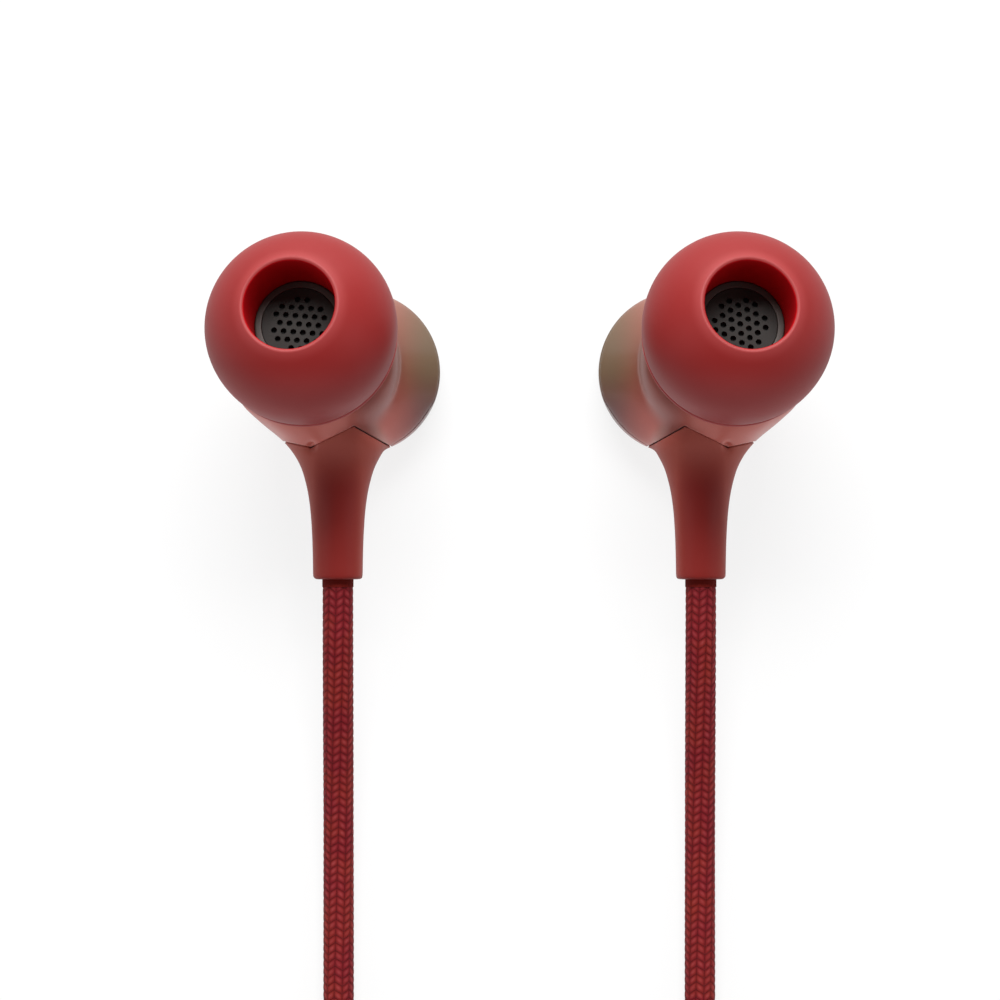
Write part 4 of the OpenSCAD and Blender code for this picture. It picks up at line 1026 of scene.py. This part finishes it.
# finishes of the pieces that keep their own solids
innerLook = {
    "steel": (tone(170, 170, 174), 1, 0.35), "magnet": (tone(120, 120, 124), 1, 0.3),
    "copper": (tone(184, 110, 72), 1, 0.35), "film": (tone(196, 184, 160), 0, 0.4),
    "board": (tone(26, 74, 44), 0, 0.5), "damper": (tone(16, 15, 15), 0, 0.9),
    "blackPlastic": (tone(34, 34, 36), 0, 0.5), "knot": (cordLook["thread"], 0, 0.7),
}
innerMaterials = {name: newMaterial(name, Base_Color=colour, Metallic=metallic, Roughness=roughness)
                  for name, (colour, metallic, roughness) in innerLook.items()}
keptNodes = {
    "acoustic_damper": "damper", "back_disc": "steel", "driver_frame": "blackPlastic", "driver_yoke": "steel",
    "driver_magnet": "magnet", "driver_top_plate": "steel", "voice_coil": "copper", "diaphragm": "film",
    "terminal_board": "board", "cord_knot": "knot", "splitter_core": "blackPlastic", "remote_board": "board",
    "remote_switch": "steel", "remote_microphone": "steel",
}
for node, finish in keptNodes.items():
    for name in (node, f"left_{node}", f"right_{node}"):
        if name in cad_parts:
            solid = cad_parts[name]
            solid.data.materials.clear()
            solid.data.materials.append(innerMaterials[finish])


# pale floor, white to the camera with the object's soft shadow on it, and plain studio light
stageLook = {"floorSize": 1.6, "white": 0.8, "glow": 0.82, "world": 0.24}
edge = stageLook["floorSize"] / 2
floorMesh = bpy.data.meshes.new("floor")
floorMesh.from_pydata([(-edge, -edge, 0), (edge, -edge, 0), (edge, edge, 0), (-edge, edge, 0)], [],
                      [(0, 1, 2, 3)])
floor = linked("floor", floorMesh)
floor.location.z = -0.00002  # metres, so that the discs don't share its plane
floorMaterial = newMaterial("paleFloor", Base_Color=(stageLook["white"],) * 3 + (1,), Roughness=0.9)
floorMesh.materials.append(floorMaterial)


def raysOf(tree, *kinds):  # 1 for the rays of these kinds, 0 for the rest
    rays = addNode(tree, "ShaderNodeLightPath")
    seen = rays.outputs[kinds[0]]
    for kind in kinds[1:]:
        seen = mathNode(tree, "MAXIMUM", seen, rays.outputs[kind])
    return seen


tree = floorMaterial.node_tree
seen = raysOf(tree, "Is Camera Ray", "Is Glossy Ray", "Is Transmission Ray")
glow, mix = addNode(tree, "ShaderNodeEmission"), addNode(tree, "ShaderNodeMixShader")
glow.inputs["Strength"].default_value = 1
tree.links.new(mathNode(tree, "MULTIPLY", seen, stageLook["glow"]), mix.inputs[0])
tree.links.new(shaderOf(floorMaterial).outputs[0], mix.inputs[1])
tree.links.new(glow.outputs[0], mix.inputs[2])
tree.links.new(mix.outputs[0], tree.nodes["Material Output"].inputs["Surface"])

world = bpy.data.worlds.new("studio")
bpy.context.scene.world = world
world.use_nodes = True
tree = world.node_tree
sky = tree.nodes["Background"]
sky.inputs["Color"].default_value = (1, 1, 1, 1)
seen = raysOf(tree, "Is Camera Ray", "Is Transmission Ray")
tree.links.new(mathNode(tree, "MULTIPLY_ADD", seen, 1 - stageLook["world"], stageLook["world"]),
               sky.inputs["Strength"])


def softLight(name, place, aim, size, power):
    data = bpy.data.lights.new(name, "AREA")
    data.shape, data.size, data.size_y = "RECTANGLE", *size
    data.energy = power
    lamp = linked(name, data)
    lamp.location = place
    lamp.rotation_euler = (Vector(aim) - Vector(place)).to_track_quat("-Z", "Y").to_euler()


softLight("topSoft", (0, 0.34, 0.38), (0, 0, 0.005), (0.34, 0.16), 3.6)
softLight("lowTopSoft", (0, 0.42, 0.11), (0, 0, 0.008), (0.5, 0.14), 1.5)
softLight("bottomSoft", (0, -0.42, 0.16), (0, 0, 0.005), (0.5, 0.14), 0.32)
for name, x in (("leftSoft", -0.45), ("rightSoft", 0.45)):
    softLight(name, (x, -0.05, 0.3), (0, 0, 0), (0.2, 0.4), 0.5)
bpy.context.scene.view_settings.view_transform = "Standard"
